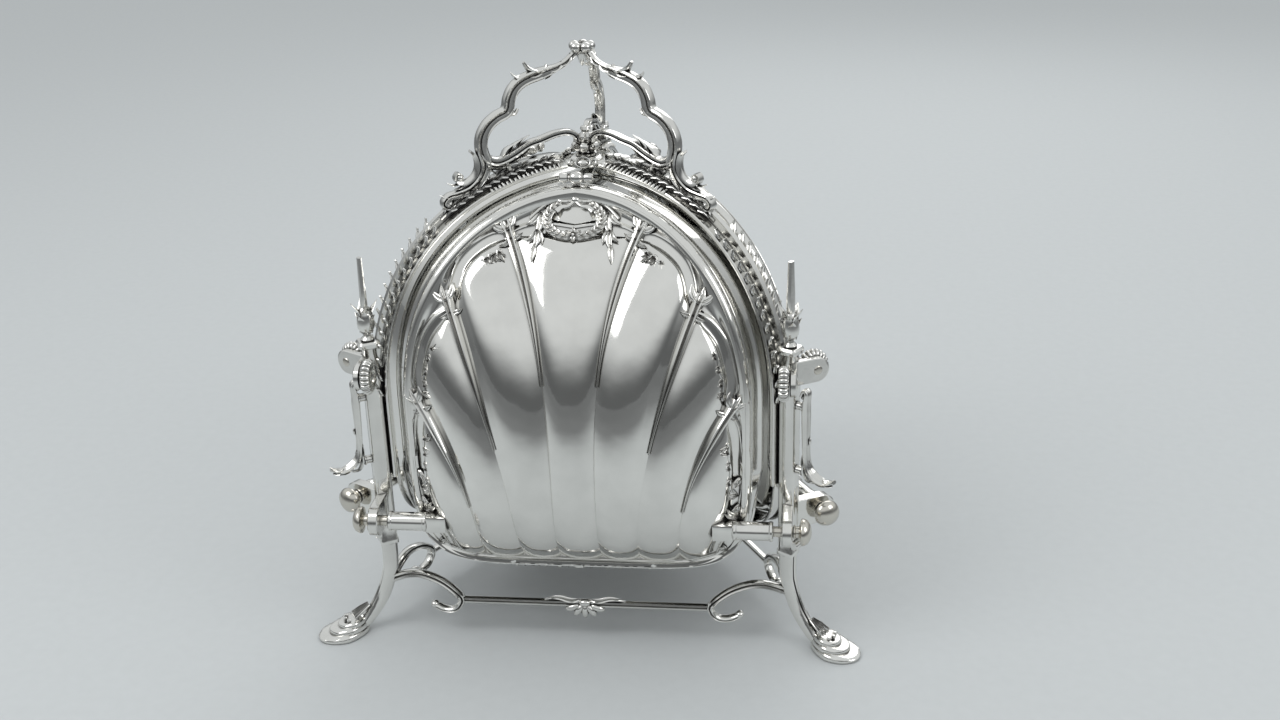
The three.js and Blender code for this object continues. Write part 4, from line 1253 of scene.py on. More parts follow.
@dataclass
class HalfArch:
    """Strap of a half arch, with moulded edges, leaf-tip borders, a web under it and reeding by the crest."""

    width: float = 14
    web_width: float = 3
    web_depth: float = 3.9
    foot_z: float = 84
    crest_radius: float = 12.3

    def section(self) -> list[Pair]:
        """Outline across the strap: a flat band between raised mouldings, over the web.

        Returns:
            The outline.
        """
        half, web = self.width / 2, self.web_width / 2
        return mirrored([
            (0, -1.2 - self.web_depth), (web, -1.2 - self.web_depth), (web, -1.2), (half - 0.4, -1.2),
            (half, -0.7), (half, 0.2), (half - 0.35, 0.75), (half - 0.9, 0.6), (half - 1.15, 0.15),
            (half - 1.5, 0.85), (half - 2.1, 1.2), (half - 2.7, 0.85), (half - 3, 0.3), (half - 3.4, 0.35),
            (0, 0.65),
        ])

    def add_edge_tips(self) -> list[Model]:
        """Curled leaf tips along both edges, from the handle's foot down to the post.

        Returns:
            The tips.
        """
        tips = []
        for here, along, up in DOME.stations(0.2, 113, 74, 15):
            for side in (-1, 1):
                outward = Vector((0, side, 0))
                start = here + outward * 5 + up * 0.4
                path = smooth_path([
                    start - along * 2.4,
                    start + outward * 1.4 + up * 1.1,
                    start + along * 2 + outward * 2.4 + up * 2.4,
                    start + along * 2.6 + outward * 1.6 + up * 3.6,
                ], 7)
                tips.append(add_bar("edge_tip", path, LEAF, leaf_width(3.8), 1.7, ups=up))
        return tips

    def add_reeding(self) -> list[Model]:
        """Ribs across the strap's edge mouldings beside the crest.

        Returns:
            The ribs.
        """
        ribs = []
        for here, _, up in DOME.stations(0.1, 52, 14, 18):
            for side in (-1, 1):
                places = ((3.7, -0.4), (5.3, 0.35), (6.5, 0.2), (7.15, -0.7))
                path = [here + Vector((0, side * out, 0)) + up * high for out, high in places]
                ribs.append(add_bar("rib", path, SLIM_ROUND, 1.5, 1.9, ups=up))
        return ribs

    def model(self) -> Model:
        """The whole half arch as one model.

        Returns:
            The model in its plane.
        """
        outer = DOME.reach - DOME.strap_thick / 2
        post = [Vector((outer, 0, mix(self.foot_z, DOME.spring_z, i / 4))) for i in range(4)]
        crest = DOME.path(-DOME.strap_thick / 2, outer, self.crest_radius, 56)
        strap = add_bar("strap", [*post, *crest], self.section(), 1, 1, across=FRONTWARD)
        return join("half_arch", [strap, *self.add_edge_tips(), *self.add_reeding()])


@dataclass
class HandleArm:
    """Scrolled handle arm in its half arch's plane; its points are distance from the axis and height."""

    main: tuple[Pair, ...] = (
        (2, 278.6), (4.6, 276.4), (8.2, 273.5), (12.4, 271.6), (17, 270.4), (21.5, 269.4), (26.5, 268.3),
        (31, 266.6), (34.8, 263.5), (37.1, 259.2), (37.9, 255.6), (39.6, 253.3), (43.6, 251.7), (48, 248.6),
        (51.2, 243.8), (52, 238.6), (50.8, 232.8), (50.8, 228.4), (53.6, 223.4), (58.6, 219.5), (64.4, 218),
        (69.4, 217.2), (71.8, 214.6), (70, 212.6), (67.6, 214.4),
    )
    hook: tuple[Pair, ...] = (
        (57.6, 237.4), (55.6, 235.2), (54.8, 230), (56.8, 225.6), (61.4, 223.2), (65.2, 224.8), (64.4, 227.6),
        (62.4, 226.4),
    )
    low_arc: tuple[Pair, ...] = (
        (51.4, 236), (49, 232.6), (45, 231), (41, 231.6), (35.5, 233.8), (29, 237), (22.8, 238.4),
        (15.6, 240.2), (9.3, 240.4), (5, 238.2), (4.2, 235.4),
    )
    under_leaf: tuple[Pair, ...] = ((50, 229.4), (44, 228), (38, 229.4), (31.4, 232.6), (26.4, 236.4))
    crocket: tuple[Pair, ...] = ((28.8, 275.6), (26.8, 272.8), (23, 270.8), (19.2, 271), (17.8, 273.2))
    cusp: tuple[Pair, ...] = ((38.6, 253.6), (35, 252.2), (33, 254.4))
    width: float = 5
    rail_start: float = 74
    rail_end: float = 20
    rail_thick: float = 2.2

    def over_arch(self, radius: float, raised: float) -> Pair:
        """Point above the arch."""
        return radius, DOME.height(radius, raised)

    def add_bars(self) -> list[Model]:
        """The cusped main bar with its scrolls, and the low arc to the boss.

        Returns:
            The bars and the beads at their curls.
        """
        slim = self.width - 0.8
        return [
            plane_bar(
                "main_bar", self.main, 124, SCROLL,
                lambda s: mix(3.2, self.width, smooth((s - 0.08) / 0.14)),
                lambda s: mix(2.8, 5.8, smooth((s - 0.08) / 0.14)) - 2.4 * smooth((s - 0.62) / 0.34),
            ),
            plane_bar("hook", self.hook, 34, CREASED, slim, swell(1.2, 2.6)),
            plane_bar("low_arc", self.low_arc, 54, SCROLL, slim, taper(4.4, 2.8)),
            plane_bar("under_leaf", self.under_leaf, 20, LEAF, taper(5.6, 1.6), taper(3.2, 1.2)),
            plane_bar("crocket", self.crocket, 16, LEAF, swell(2, 5.8), swell(2, 3.8)),
            plane_bar("cusp", self.cusp, 8, ROUND, taper(4, 1.6), taper(3, 1.2)),
            plane_bar("prop", [self.over_arch(38, 1), (40.4, 230)], 3, ROUND, 3.4, 3),
            add_ball((63.4, 0, 225.8), (2, 2.7, 2), 14),
            add_ball((69.2, 0, 214.2), (1.6, 2.4, 1.6), 12),
        ]

    def add_leaves(self) -> list[Model]:
        """Acanthus tips on the bars and along the rail.

        Returns:
            The leaves.
        """
        over = self.over_arch
        leaves = []
        for root, tip, width, thick in (
            ((4.6, 276.4), (13.4, 271.2), 4, 3.6), ((9.4, 272.8), (19.4, 270), 4.4, 3.8),
            ((15, 271), (18.8, 266.4), 3.4, 2), ((19.4, 270.4), (29.4, 269.6), 5.4, 3.4),
            ((30.5, 268.4), (35.6, 271.6), 4, 3.2), ((43, 231.4), (35, 238.4), 5.4, 3),
            ((40, 231.6), (31, 240.2), 4.8, 2.6), ((35.4, 233.8), (28, 241.4), 4, 2.2),
            ((46, 229), (37.6, 226.6), 4.8, 2.6), ((41, 228.4), (33, 228.8), 4.6, 2.4),
            ((35, 230.4), (27.6, 231.4), 4, 2.2), ((51.5, 228), (45.2, 224.6), 5, 2.6),
            ((54, 223.4), (47.4, 222), 4.8, 2.6), ((60.6, 219), (54, 217.4), 4.4, 2.4),
            ((64, 222.6), (69.6, 223.8), 3.8, 2), ((61, 223), (66.4, 220.4), 3.4, 1.8),
            ((68, 217.4), (73.6, 218.6), 3.6, 2),
        ):
            leaves.append(plane_leaf(root, tip, width, thick))
        steps = 13
        for i in range(steps):
            radius = mix(self.rail_start - 1, self.rail_end + 1.5, i / (steps - 1))
            height = 1.7 + 1.4 * math.sin(i * 1.9) ** 2
            ahead = radius - 5.6
            leaf = plane_leaf(over(radius, 1.2), over(ahead, height + 2.1), 5.4, 2.4, 0.22)
            leaves.append(leaf)
            for side in (-1, 1):
                point = Vector((radius - 1.4, side * 2.1, DOME.height(radius - 1.4, 1.6)))
                ahead_point = Vector((ahead - 0.6, side * 4.3, DOME.height(ahead - 0.6, 1.5)))
                middle = point.lerp(ahead_point, 0.5) + Vector((0, 0, 1.1))
                path = [point, middle, ahead_point]
                up = Vector((0.3, 0, 1)).normalized()
                leaves.append(add_bar("rail_leaf", path, LEAF, leaf_width(2.6), 1.3, ups=up))
        return leaves

    def model(self) -> Model:
        """The whole arm as one model.

        Returns:
            The model in its plane.
        """
        rail_path = DOME.path(0.3 + self.rail_thick / 2, self.rail_start, self.rail_end, 24)
        rail = add_bar("rail", rail_path, CREASED, self.width, self.rail_thick, across=FRONTWARD)
        return join("handle_arm", [rail, *self.add_bars(), *self.add_leaves()])


@dataclass
class Crown:
    """What stands on the axis: the crest boss with blank cartouches, the palmette boss and the rosette."""

    crest_z: float = 227
    boss_radius: float = 12
    boss_height: float = 3.4
    cartouche: Pair = (7, 5)
    palmette_radius: float = 5
    finial_z: float = 283
    finial_drop: float = 11.8
    stem: float = 2.6

    def crest_boss(self) -> Model:
        """Disc where the half arches meet, with a blank cartouche over each bowl.

        Returns:
            The boss.
        """
        base = self.crest_z - DOME.strap_thick
        edge = self.boss_radius
        parts = [add_turned("boss", [
            (0, base), (edge - 0.4, base), (edge, base + 0.5), (edge, base + 1.4), (edge - 0.7, base + 1.9),
            (edge - 1.2, base + 1.6), (edge - 2, base + 2.4), (edge * 0.66, base + 2.5),
            (edge * 0.6, base + self.boss_height - 0.2), (edge * 0.5, base + self.boss_height),
            (0, base + self.boss_height),
        ], 36)]
        wide, tall = self.cartouche
        for i in range(3):
            oval = [add_ball((0, 0, 0), (wide / 2 - 0.7, 1.2, tall / 2 - 0.7))]
            rim = []
            for k in range(21):
                turn = math.tau * k / 20
                rim.append(Vector((wide / 2 * math.cos(turn), -0.5, tall / 2 * math.sin(turn))))
            oval.append(add_bar("rim", rim, SLIM_ROUND, 1.1, 1.1, ups=FRONTWARD))
            for side in (-1, 1):
                curl = smooth_path([
                    (side * wide * 0.5, -0.2, 0), (side * (wide * 0.5 + 1.7), -0.3, 1.6),
                    (side * (wide * 0.5 + 2.9), -0.3, 0.2), (side * (wide * 0.5 + 1.9), -0.4, -1),
                ], 10)
                oval.append(add_bar("curl", curl, SLIM_ROUND, 1.1, 1.1, ups=FRONTWARD))
            model = lay(join("cartouche", oval), (0, -edge + 0.4, base + tall / 2 + 0.1), -32, "X")
            parts.append(lay(model, (0, 0, 0), 120 * i, "Z"))
        return join("crest_boss", parts)

    def handle_boss(self) -> Model:
        """Palmette boss that the low arcs meet, with leaves and small volutes round it.

        Returns:
            The boss.
        """
        base = self.crest_z - DOME.strap_thick + self.boss_height + 0.3
        wide = self.palmette_radius
        parts = [add_turned("core", [
            (0, base), (wide, base), (wide, base + 1), (wide * 0.7, base + 1.6), (wide * 0.5, base + 3.4),
            (wide * 0.62, base + 5.4), (wide * 0.8, base + 7), (wide * 0.8, base + 9.4),
            (wide * 0.5, base + 10.4), (wide * 0.35, base + 11.2), (wide * 0.5, base + 12.4),
            (wide * 0.42, base + 13.6), (0, base + 14.4),
        ], 24)]
        for i in range(9):
            tip = (wide * 1.02, base + (8.6 if i % 3 else 10))
            leaf = plane_leaf((wide * 0.45, base + 2), tip, 3.4, 1.8, -0.2)
            parts.append(lay(leaf, (0, 0, 0), 40 * i, "Z"))
        profile = both_ways([(2.4, 0), (2.2, 1.5), (1.3, 1.1), (0.9, 1.9), (0, 1.5)])
        for i in range(6):
            curl = lay(add_turned("curl", profile, 16), (wide * 0.95, 0, base + 4.6), 90, "X")
            parts.append(lay(curl, (0, 0, 0), 60 * i + 30, "Z"))
        return join("handle_boss", parts)

    def finial(self) -> Model:
        """Rosette of round petals on the stem where the arms meet.

        Returns:
            The rosette.
        """
        top = self.finial_z
        low = top - self.finial_drop
        stem = self.stem
        parts = [add_turned("stem", [
            (0, low - 0.6), (0.7, low), (1.4, low + 1.4), (stem * 0.8, low + 3.4), (stem, low + 5.4),
            (stem * 0.8, low + 6.6), (stem * 0.9, low + 7.6), (stem * 1.2, top - 3), (stem * 0.7, top - 1.9),
            (1.1, top - 1.5), (1, top - 0.3), (0, top),
        ], 24)]
        for i in range(5):
            turn = math.tau * i / 5 + math.radians(90)
            parts.append(add_ball((3.9 * math.cos(turn), 3.9 * math.sin(turn), top - 3.1), (2.6, 2.6, 2.5)))
            leaf = plane_leaf((stem * 0.6, low + 3.4), (stem * 1.6, low + 7), 2.8, 1.4, -0.2)
            parts.append(lay(leaf, (0, 0, 0), 72 * i + 126, "Z"))
        return join("finial", parts)


@dataclass
class Post:
    """Square post with collars, narrowed above its shoulder, with two hinge lugs and two tabs."""

    foot_z: float = 46.6
    top_z: float = 154.2
    shoulder_z: float = 141
    neck: float = 0.8
    lug_inner: float = 96
    lug_thick: float = 5
    lug_radius: float = 7.4
    tab_inner: float = 99
    tab_thick: float = 3
    tab_radius: float = 6

    def add_shaft(self) -> Model:
        """Post shaft lofted from square rings with softened corners and a panelled face.

        Returns:
            The shaft.
        """
        half_x, half_y = DOME.post_depth / 2, DOME.post_width / 2
        levels = (
            (self.foot_z, 1.12), (self.foot_z + 2.2, 1.12), (self.foot_z + 3, 1.0), (62, 1.0), (76, 1.0),
            (110, 1.0), (self.shoulder_z - 4.5, 1.0), (self.shoulder_z - 2, 1.03), (self.shoulder_z, 0.98),
            (self.shoulder_z + 2.2, self.neck), (self.top_z - 4.2, self.neck),
            (self.top_z - 3.4, self.neck + 0.12), (self.top_z - 3, 1.22), (self.top_z - 2.2, 1.28),
            (self.top_z - 1, 1.28), (self.top_z - 0.4, 1.16), (self.top_z, 1.1),
        )
        corner = [(1, -0.72), (1, 0.72), (0.9, 0.9), (0.72, 1)]
        left = [(-x, y) for x, y in reversed(corner)]
        outline = [*corner, (0.3, 1), (-0.3, 1), *left, (-0.9, -0.9), (-0.72, -1), (0.72, -1), (0.9, -0.9)]
        ring = DOME.post_ring
        rings = []
        for z, size in levels:
            rings.append([Vector((ring + x * half_x * size, y * half_y * size, z)) for x, y in outline])
        return add_rings("shaft", rings)

    def eye_plate(self, inner: float, thick: float, out: float, height: float, radius: float) -> Model:
        """Plate across the pin's line, round at its free end, in the front face's frame.

        Args:
            inner: Distance of its inner side from the middle of the face.
            thick: Its thickness.
            out: Distance of the pin's line from the axis.
            height: Height of the pin's line.
            radius: Radius of its free end.

        Returns:
            The plate.
        """
        start = DOME.post_ring * COS60
        neck = mix(start, out, 0.6)
        outer = [(-start, -radius), (-neck, -radius)]
        steps = 14
        for i in range(steps + 1):
            turn = math.pi * (i / steps - 0.5)
            outer.append((-out - radius * math.cos(turn), radius * math.sin(turn)))
        outer += [(-neck, radius), (-start, radius), (-start, radius / 2), (-start, 0), (-start, -radius / 2)]
        middle = 3 - out
        edge = 0.45
        rings = []
        for x, grow in ((inner, -edge), (inner + edge, 0), (inner + thick - edge, 0), (inner + thick, -edge)):
            size = 1 + grow / radius
            rings.append([Vector((x, middle + (y - middle) * size, height + z * size)) for y, z in outer])
        return add_rings("eye_plate", rings)

    def model(self) -> Model:
        """The whole post as one model in its radial plane.

        Returns:
            The post.
        """
        parts = [self.add_shaft()]
        curl = add_turned("curl", both_ways([(2.3, 2.8), (1.9, 3.2), (0, 3.2)]), 18)
        parts.append(lay(curl, (DOME.post_ring + DOME.post_depth / 2 + 0.8, 0, self.foot_z + 6), 90, "X"))
        into_plane = Matrix.Rotation(math.radians(-CORNER_TURN), 4, "Z")
        for mirror in (False, True):
            for size in (
                (self.lug_inner, self.lug_thick, DOME.hinge_out, DOME.hinge_z, self.lug_radius),
                (self.tab_inner, self.tab_thick, DOME.roundel_out, DOME.roundel_z, self.tab_radius),
            ):
                plate = self.eye_plate(*size)
                plate.data.transform(into_plane)
                if mirror:
                    plate.data.transform(Matrix.Diagonal((1, -1, 1, 1)))
                    plate.data.flip_normals()
                parts.append(plate)
        return join("post", parts)

    def finial(self) -> Model:
        """Leafy bud with a flat spear on the post's collar.

        Returns:
            The finial.
        """
        base = self.top_z + 0.3
        bud = add_turned("bud", [
            (0, base), (3, base), (3.2, base + 0.5), (2.6, base + 1.2), (1.8, base + 2), (1.7, base + 2.8),
            (2.4, base + 3.4), (3.9, base + 6), (4.2, base + 8.4), (3.8, base + 12), (2.6, base + 15.5),
            (0, base + 18),
        ], 20)
        bud.data.transform(Matrix.Translation((DOME.post_ring, 0, 0)))
        spear_path = [Vector((DOME.post_ring, 0, mix(base + 10, base + 40.5, i / 12))) for i in range(13)]
        section = mirrored([(0, -0.5), (0.36, -0.42), (0.5, -0.05), (0.5, 0.05), (0.36, 0.42), (0, 0.5)])
        spear = add_bar(
            "spear", spear_path, section,
            lambda s: mix(3.4, 5.2, smooth(s * 2.6)) * (1 - 0.36 * smooth((s - 0.4) / 0.6)),
            taper(3.4, 2.2), across=FRONTWARD,
        )
        parts = [bud, spear]
        for i in range(8):
            tip, wide = ((5.2, base + 13), 5.4) if i % 2 else ((6.4, base + 19), 6.4)
            leaf = plane_leaf((2.4, base + 3.6), tip, wide, 4, -0.16)
            parts.append(lay(leaf, (DOME.post_ring, 0, 0), 45 * i, "Z"))
        return join("post_finial", parts)


@dataclass
class HingePin:
    """Pin with its neck and domed knob, on the right of the front bowl."""

    radius: float = 2.5
    start: float = 79.3
    neck_start: float = 101.3
    knob_radius: float = 6.5
    end: float = 110

    def model(self) -> Model:
        """The pin along X on the hinge line.

        Returns:
            The pin.
        """
        neck, knob, end = self.neck_start, self.knob_radius, self.end
        profile = [
            (0, self.start), (self.radius - 0.3, self.start), (self.radius, self.start + 0.3),
            (self.radius, neck), (self.radius + 0.9, neck + 0.2), (self.radius + 0.9, neck + 0.8),
            (self.radius + 0.3, neck + 1.1), (self.radius + 0.3, neck + 2.6), (knob - 1, neck + 3.4),
            (knob - 0.2, neck + 3.7), (knob, neck + 4.3), (knob - 0.15, neck + 5.1), (knob * 0.86, end - 2.1),
            (knob * 0.62, end - 1), (knob * 0.34, end - 0.3), (0, end),
        ]
        return lay(add_turned("pin", profile, 40), (0, -DOME.hinge_out, DOME.hinge_z))


@dataclass
class Roundel:
    """Gadrooned disc on the inner side of a tab, with the flush rivet that holds it."""

    thick: float = 5
    lobes: int = 20
    outer: float = 98.7
    tab_inner: float = 99
    rivet_radius: float = 2.2

    def model(self) -> Model:
        """The disc with rounded lobes round its edge and a low boss in its middle.

        Returns:
            The disc.
        """
        profile = [
            (0.02, 0.6), (1.6, 0.5), (2.6, 0.9), (3.2, 1.3), (3.8, 0.9), (4.6, 0.3), (6.0, 0.0), (7.2, 0.3),
            (8.1, 1.2), (8.5, 2.4), (8.2, 3.6), (7.4, 4.4), (6.8, 5), (3.4, 5), (0.02, 5),
        ]
        around = self.lobes * 6
        rings = []
        for radius, along in profile:
            ring = []
            for i in range(around):
                turn = math.tau * i / around
                gadroon = 0.86 + 0.14 * abs(math.cos(turn * self.lobes / 2)) ** 0.7
                size = radius * (gadroon if radius > 6.5 and along < 4.6 else 0.9)
                ring.append(Vector((
                    self.outer - self.thick + along, size * math.cos(turn) - DOME.roundel_out,
                    size * math.sin(turn) + DOME.roundel_z,
                )))
            rings.append(ring)
        return add_rings("roundel", rings)

    def rivet(self) -> Model:
        """Flush rivet with a fine groove round its head.

        Returns:
            The rivet.
        """
        start, end = self.tab_inner, self.tab_inner + 3.4
        rivet = add_turned("rivet", [
            (0, start), (self.rivet_radius, start), (self.rivet_radius, end - 0.4), (1.9, end - 0.1),
            (1.7, end), (1, end + 0.1), (0, end + 0.12),
        ], 24)
        return lay(rivet, (0, -DOME.roundel_out, DOME.roundel_z))


@dataclass
class LeafBracket:
    """Upright chased strip on two pegs beside the post, hooked at its top, with a leaf scroll at its foot."""

    middle: float = 123.1
    face: float = 118.3
    top_z: float = 133
    foot_z: float = 88
    reach: float = 17

    def model(self) -> Model:
        """The bracket in its radial plane.

        Returns:
            The bracket.
        """
        middle, top, foot = self.middle, self.top_z, self.foot_z
        section = mirrored([
            (0, -0.5), (0.3, -0.46), (0.46, -0.3), (0.5, 0), (0.44, 0.3), (0.34, 0.36), (0.26, 0.24),
            (0.18, 0.4), (0.1, 0.3), (0, 0.46),
        ])
        strip = [
            (middle - 2.2, top - 1.6), (middle - 1, top + 1.2), (middle + 0.6, top), (middle, top - 6),
            (middle, mix(foot, top, 0.55)), (middle + 0.4, foot + 13), (middle + 2.4, foot + 5.6),
            (middle + self.reach * 0.55, foot + 1.6), (middle + self.reach * 0.9, foot + 3.4),
        ]
        lower = [
            (middle, foot + 12), (middle - 0.6, foot + 5), (middle + 1.4, foot + 0.6), (middle + 5, foot),
        ]
        parts = [
            plane_bar(
                "strip", strip, 46, section,
                lambda s: 5 + 1.6 * smooth((s - 0.6) / 0.2) - 3.4 * smooth((s - 0.84) / 0.16),
                lambda s: mix(1.6, 4.2, s * 4) if s < 0.25 else mix(4.2, 1.6, (s - 0.25) / 0.75),
            ),
            plane_bar("lower_leaf", lower, 12, LEAF, leaf_width(5.4), taper(3.4, 1.6)),
            add_ball((middle - 1.5, 0, top - 2.2), (1.3, 2, 1.3), 12),
            add_ball((middle + 2, 0, 109), (0.7, 0.9, 1.6), 10),
        ]
        for root, tip in (
            ((middle + 0.4, foot + 9), (middle + 7.5, foot + 2.6)),
            ((middle + 4, foot + 4.4), (middle + 12, foot - 0.2)),
            ((middle - 0.8, foot + 15), (middle + 1.9, foot + 4)),
            ((middle + 9, foot + 2.2), (middle + 15.6, foot + 4.8)),
            ((middle + 10.5, foot + 2.4), (middle + 14.4, foot + 1)),
            ((middle + 1, foot + 20), (middle + 2.6, foot + 9)),
        ):
            parts.append(plane_leaf(root, tip, 6, 2.2))
        for z in (mix(foot, top, 0.84), foot + 5):
            peg = add_turned("peg", [(0, 0), (2, 0), (2, 2.4), (2.5, 2.8), (2.5, 3.4), (0, 4.8)], 18)
            parts.append(lay(peg, (self.face, 0, z)))
        return join("leaf_bracket", parts)


@dataclass
class Leg:
    """Cabriole leg with a doubled ridge, a grooved hoof and a C-scroll to each neighbouring stretcher."""

    top_z: float = 46.3
    ankle: float = 128
    toe: float = 154
    hoof_width: float = 20
    hoof_height: float = 8

    def add_shank(self) -> Model:
        """Curved shank with two ridges down its front.

        Returns:
            The shank.
        """
        path = [(114, self.top_z), (114, 38), (115, 30), (120, 17), (self.ankle, 6.4), (self.ankle + 5, 3.4)]
        section = mirrored([
            (0, -0.5), (0.3, -0.48), (0.48, -0.3), (0.5, 0), (0.42, 0.3), (0.3, 0.47), (0.17, 0.5),
            (0.08, 0.42), (0.05, 0.28), (0, 0.26),
        ])
        return plane_bar("shank", path, 40, section, taper(7.8, 6.6), taper(7.6, 5.4))

    def add_pad(self, middle: float, length: float, wide: float, low: float, high: float) -> Model:
        """One of the hoof's overlapping pads, rounded at its top edge.

        Args:
            middle: Distance of its middle from the axis.
            length: Its half length.
            wide: Its half width.
            low: Height of its underside.
            high: Height of its top.

        Returns:
            The pad.
        """
        rings = []
        sizes = ((0, 0.94), (0.1, 1), (0.45, 1), (0.68, 0.96), (0.86, 0.86), (0.96, 0.7), (1, 0.5))
        for share, size in sizes:
            ring = []
            for k in range(28):
                turn = math.tau * k / 28
                ahead = math.cos(turn)
                squeeze = 1 - 0.28 * max(0, -ahead)
                slope = 1 - 0.4 * max(0, ahead) * share
                across = wide * size * squeeze * math.sin(turn)
                height = mix(low, high, share * slope)
                ring.append(Vector((middle + length * size * ahead, across, height)))
            rings.append(ring)
        return add_rings("pad", rings)

    def add_hoof(self) -> list[Model]:
        """Foot of three overlapping pads with three square studs and small leaves over the ankle.

        Returns:
            The foot's pieces.
        """
        toe, tall, half = self.toe, self.hoof_height, self.hoof_width / 2
        parts = [
            self.add_pad(toe - 13, 13, half, 0, tall * 0.52),
            self.add_pad(toe - 15.5, 9.8, half * 0.82, tall * 0.3, tall * 0.82),
            self.add_pad(toe - 17.4, 7, half * 0.66, tall * 0.6, tall * 1.08),
        ]
        for x, y in ((toe - 14, 0), (toe - 15, 2.9), (toe - 15, -2.9)):
            parts.append(add_block("stud", (1.7, 1.7, 1.4), (x, y, tall * 1.06), 0.3))
        for y in (-2.4, -0.8, 0.8, 2.4):
            root, tip = Vector((toe - 26.6, y * 0.6, 13.6)), Vector((toe - 18.6, y * 1.5, tall * 1.12))
            up = Vector((0.7, 0, 0.7))
            path = [root, root.lerp(tip, 0.5) + up * 0.4, tip]
            parts.append(add_bar("ankle_leaf", path, LEAF, leaf_width(2.2), 1.8, ups=up))
        return parts

    def add_scroll(self) -> Model:
        """C-scroll from the leg to the stretcher's end, in the front face's frame.

        Returns:
            The scroll.
        """
        end, out = DOME.stretcher_half + 0.3, DOME.stretcher_out
        path = smooth_path([
            (98, -58, 26), (89, -60, 30), (81, -62, 31), (71.5, -64, 28.4), (end + 3.2, -out, 23.6),
            (end + 0.7, -out, DOME.stretcher_z), (end + 4, -out, 14.6), (70.5, -65.4, 13.6),
            (76, -64.6, 15.6),
        ], 40)
        scroll = add_bar("scroll", path, REEDED, 4.8, taper(4.4, 3.2), across=FRONTWARD)
        return join("scroll", [scroll, add_ball((75.8, -64.7, 15.8), (2.2, 2.5, 2), 14)])

    def model(self) -> Model:
        """The whole leg in its radial plane.

        Returns:
            The leg.
        """
        right = self.add_scroll()
        right.data.transform(Matrix.Rotation(math.radians(-CORNER_TURN), 4, "Z"))
        left = copied(right, Matrix.Diagonal((1, -1, 1, 1)))
        return join("leg", [self.add_shank(), *self.add_hoof(), right, left])


@dataclass
class Stretcher:
    """Moulded rail under a bowl, with a palmette of five lobes in its middle and leaf scrolls beside it."""

    bar: float = 3.4

    def model(self) -> Model:
        """The stretcher under the front bowl.

        Returns:
            The stretcher.
        """
        half, out, z = DOME.stretcher_half, DOME.stretcher_out, DOME.stretcher_z
        path = [Vector((mix(-half, half, i / 24), -out, z)) for i in range(25)]
        section = mirrored([
            (0, -0.5), (0.3, -0.44), (0.46, -0.28), (0.5, -0.06), (0.3, 0.0), (0.34, 0.06), (0.44, 0.2),
            (0.36, 0.42), (0, 0.5),
        ])
        parts = [add_bar("rail", path, section, self.bar, self.bar, ups=UPWARD)]
        for leaf in (-2, -1, 0, 1, 2):
            lean = leaf * 0.6
            lobe = add_ball((0, 0, 0), (1.9, 2.2, 4), 14)
            spot = (leaf * 3.1, -out - 0.8, z - 0.6 - 3 * math.cos(lean))
            parts.append(lay(lobe, spot, -math.degrees(lean)))
        for side in (-1, 1):
            curl = smooth_path([
                (side * 1.4, -out, z + 1), (side * 7, -out - 0.6, z + 1.8), (side * 13, -out - 0.6, z + 3.4),
                (side * 20, -out, z + 1.6),
            ], 12)
            parts.append(add_bar("curl", curl, LEAF, leaf_width(4.6), taper(3.4, 1.4), ups=UPWARD))
        parts.append(add_ball((0, -out - 1, z + 1), (3, 2.2, 2), 14))
        return join("stretcher", parts)


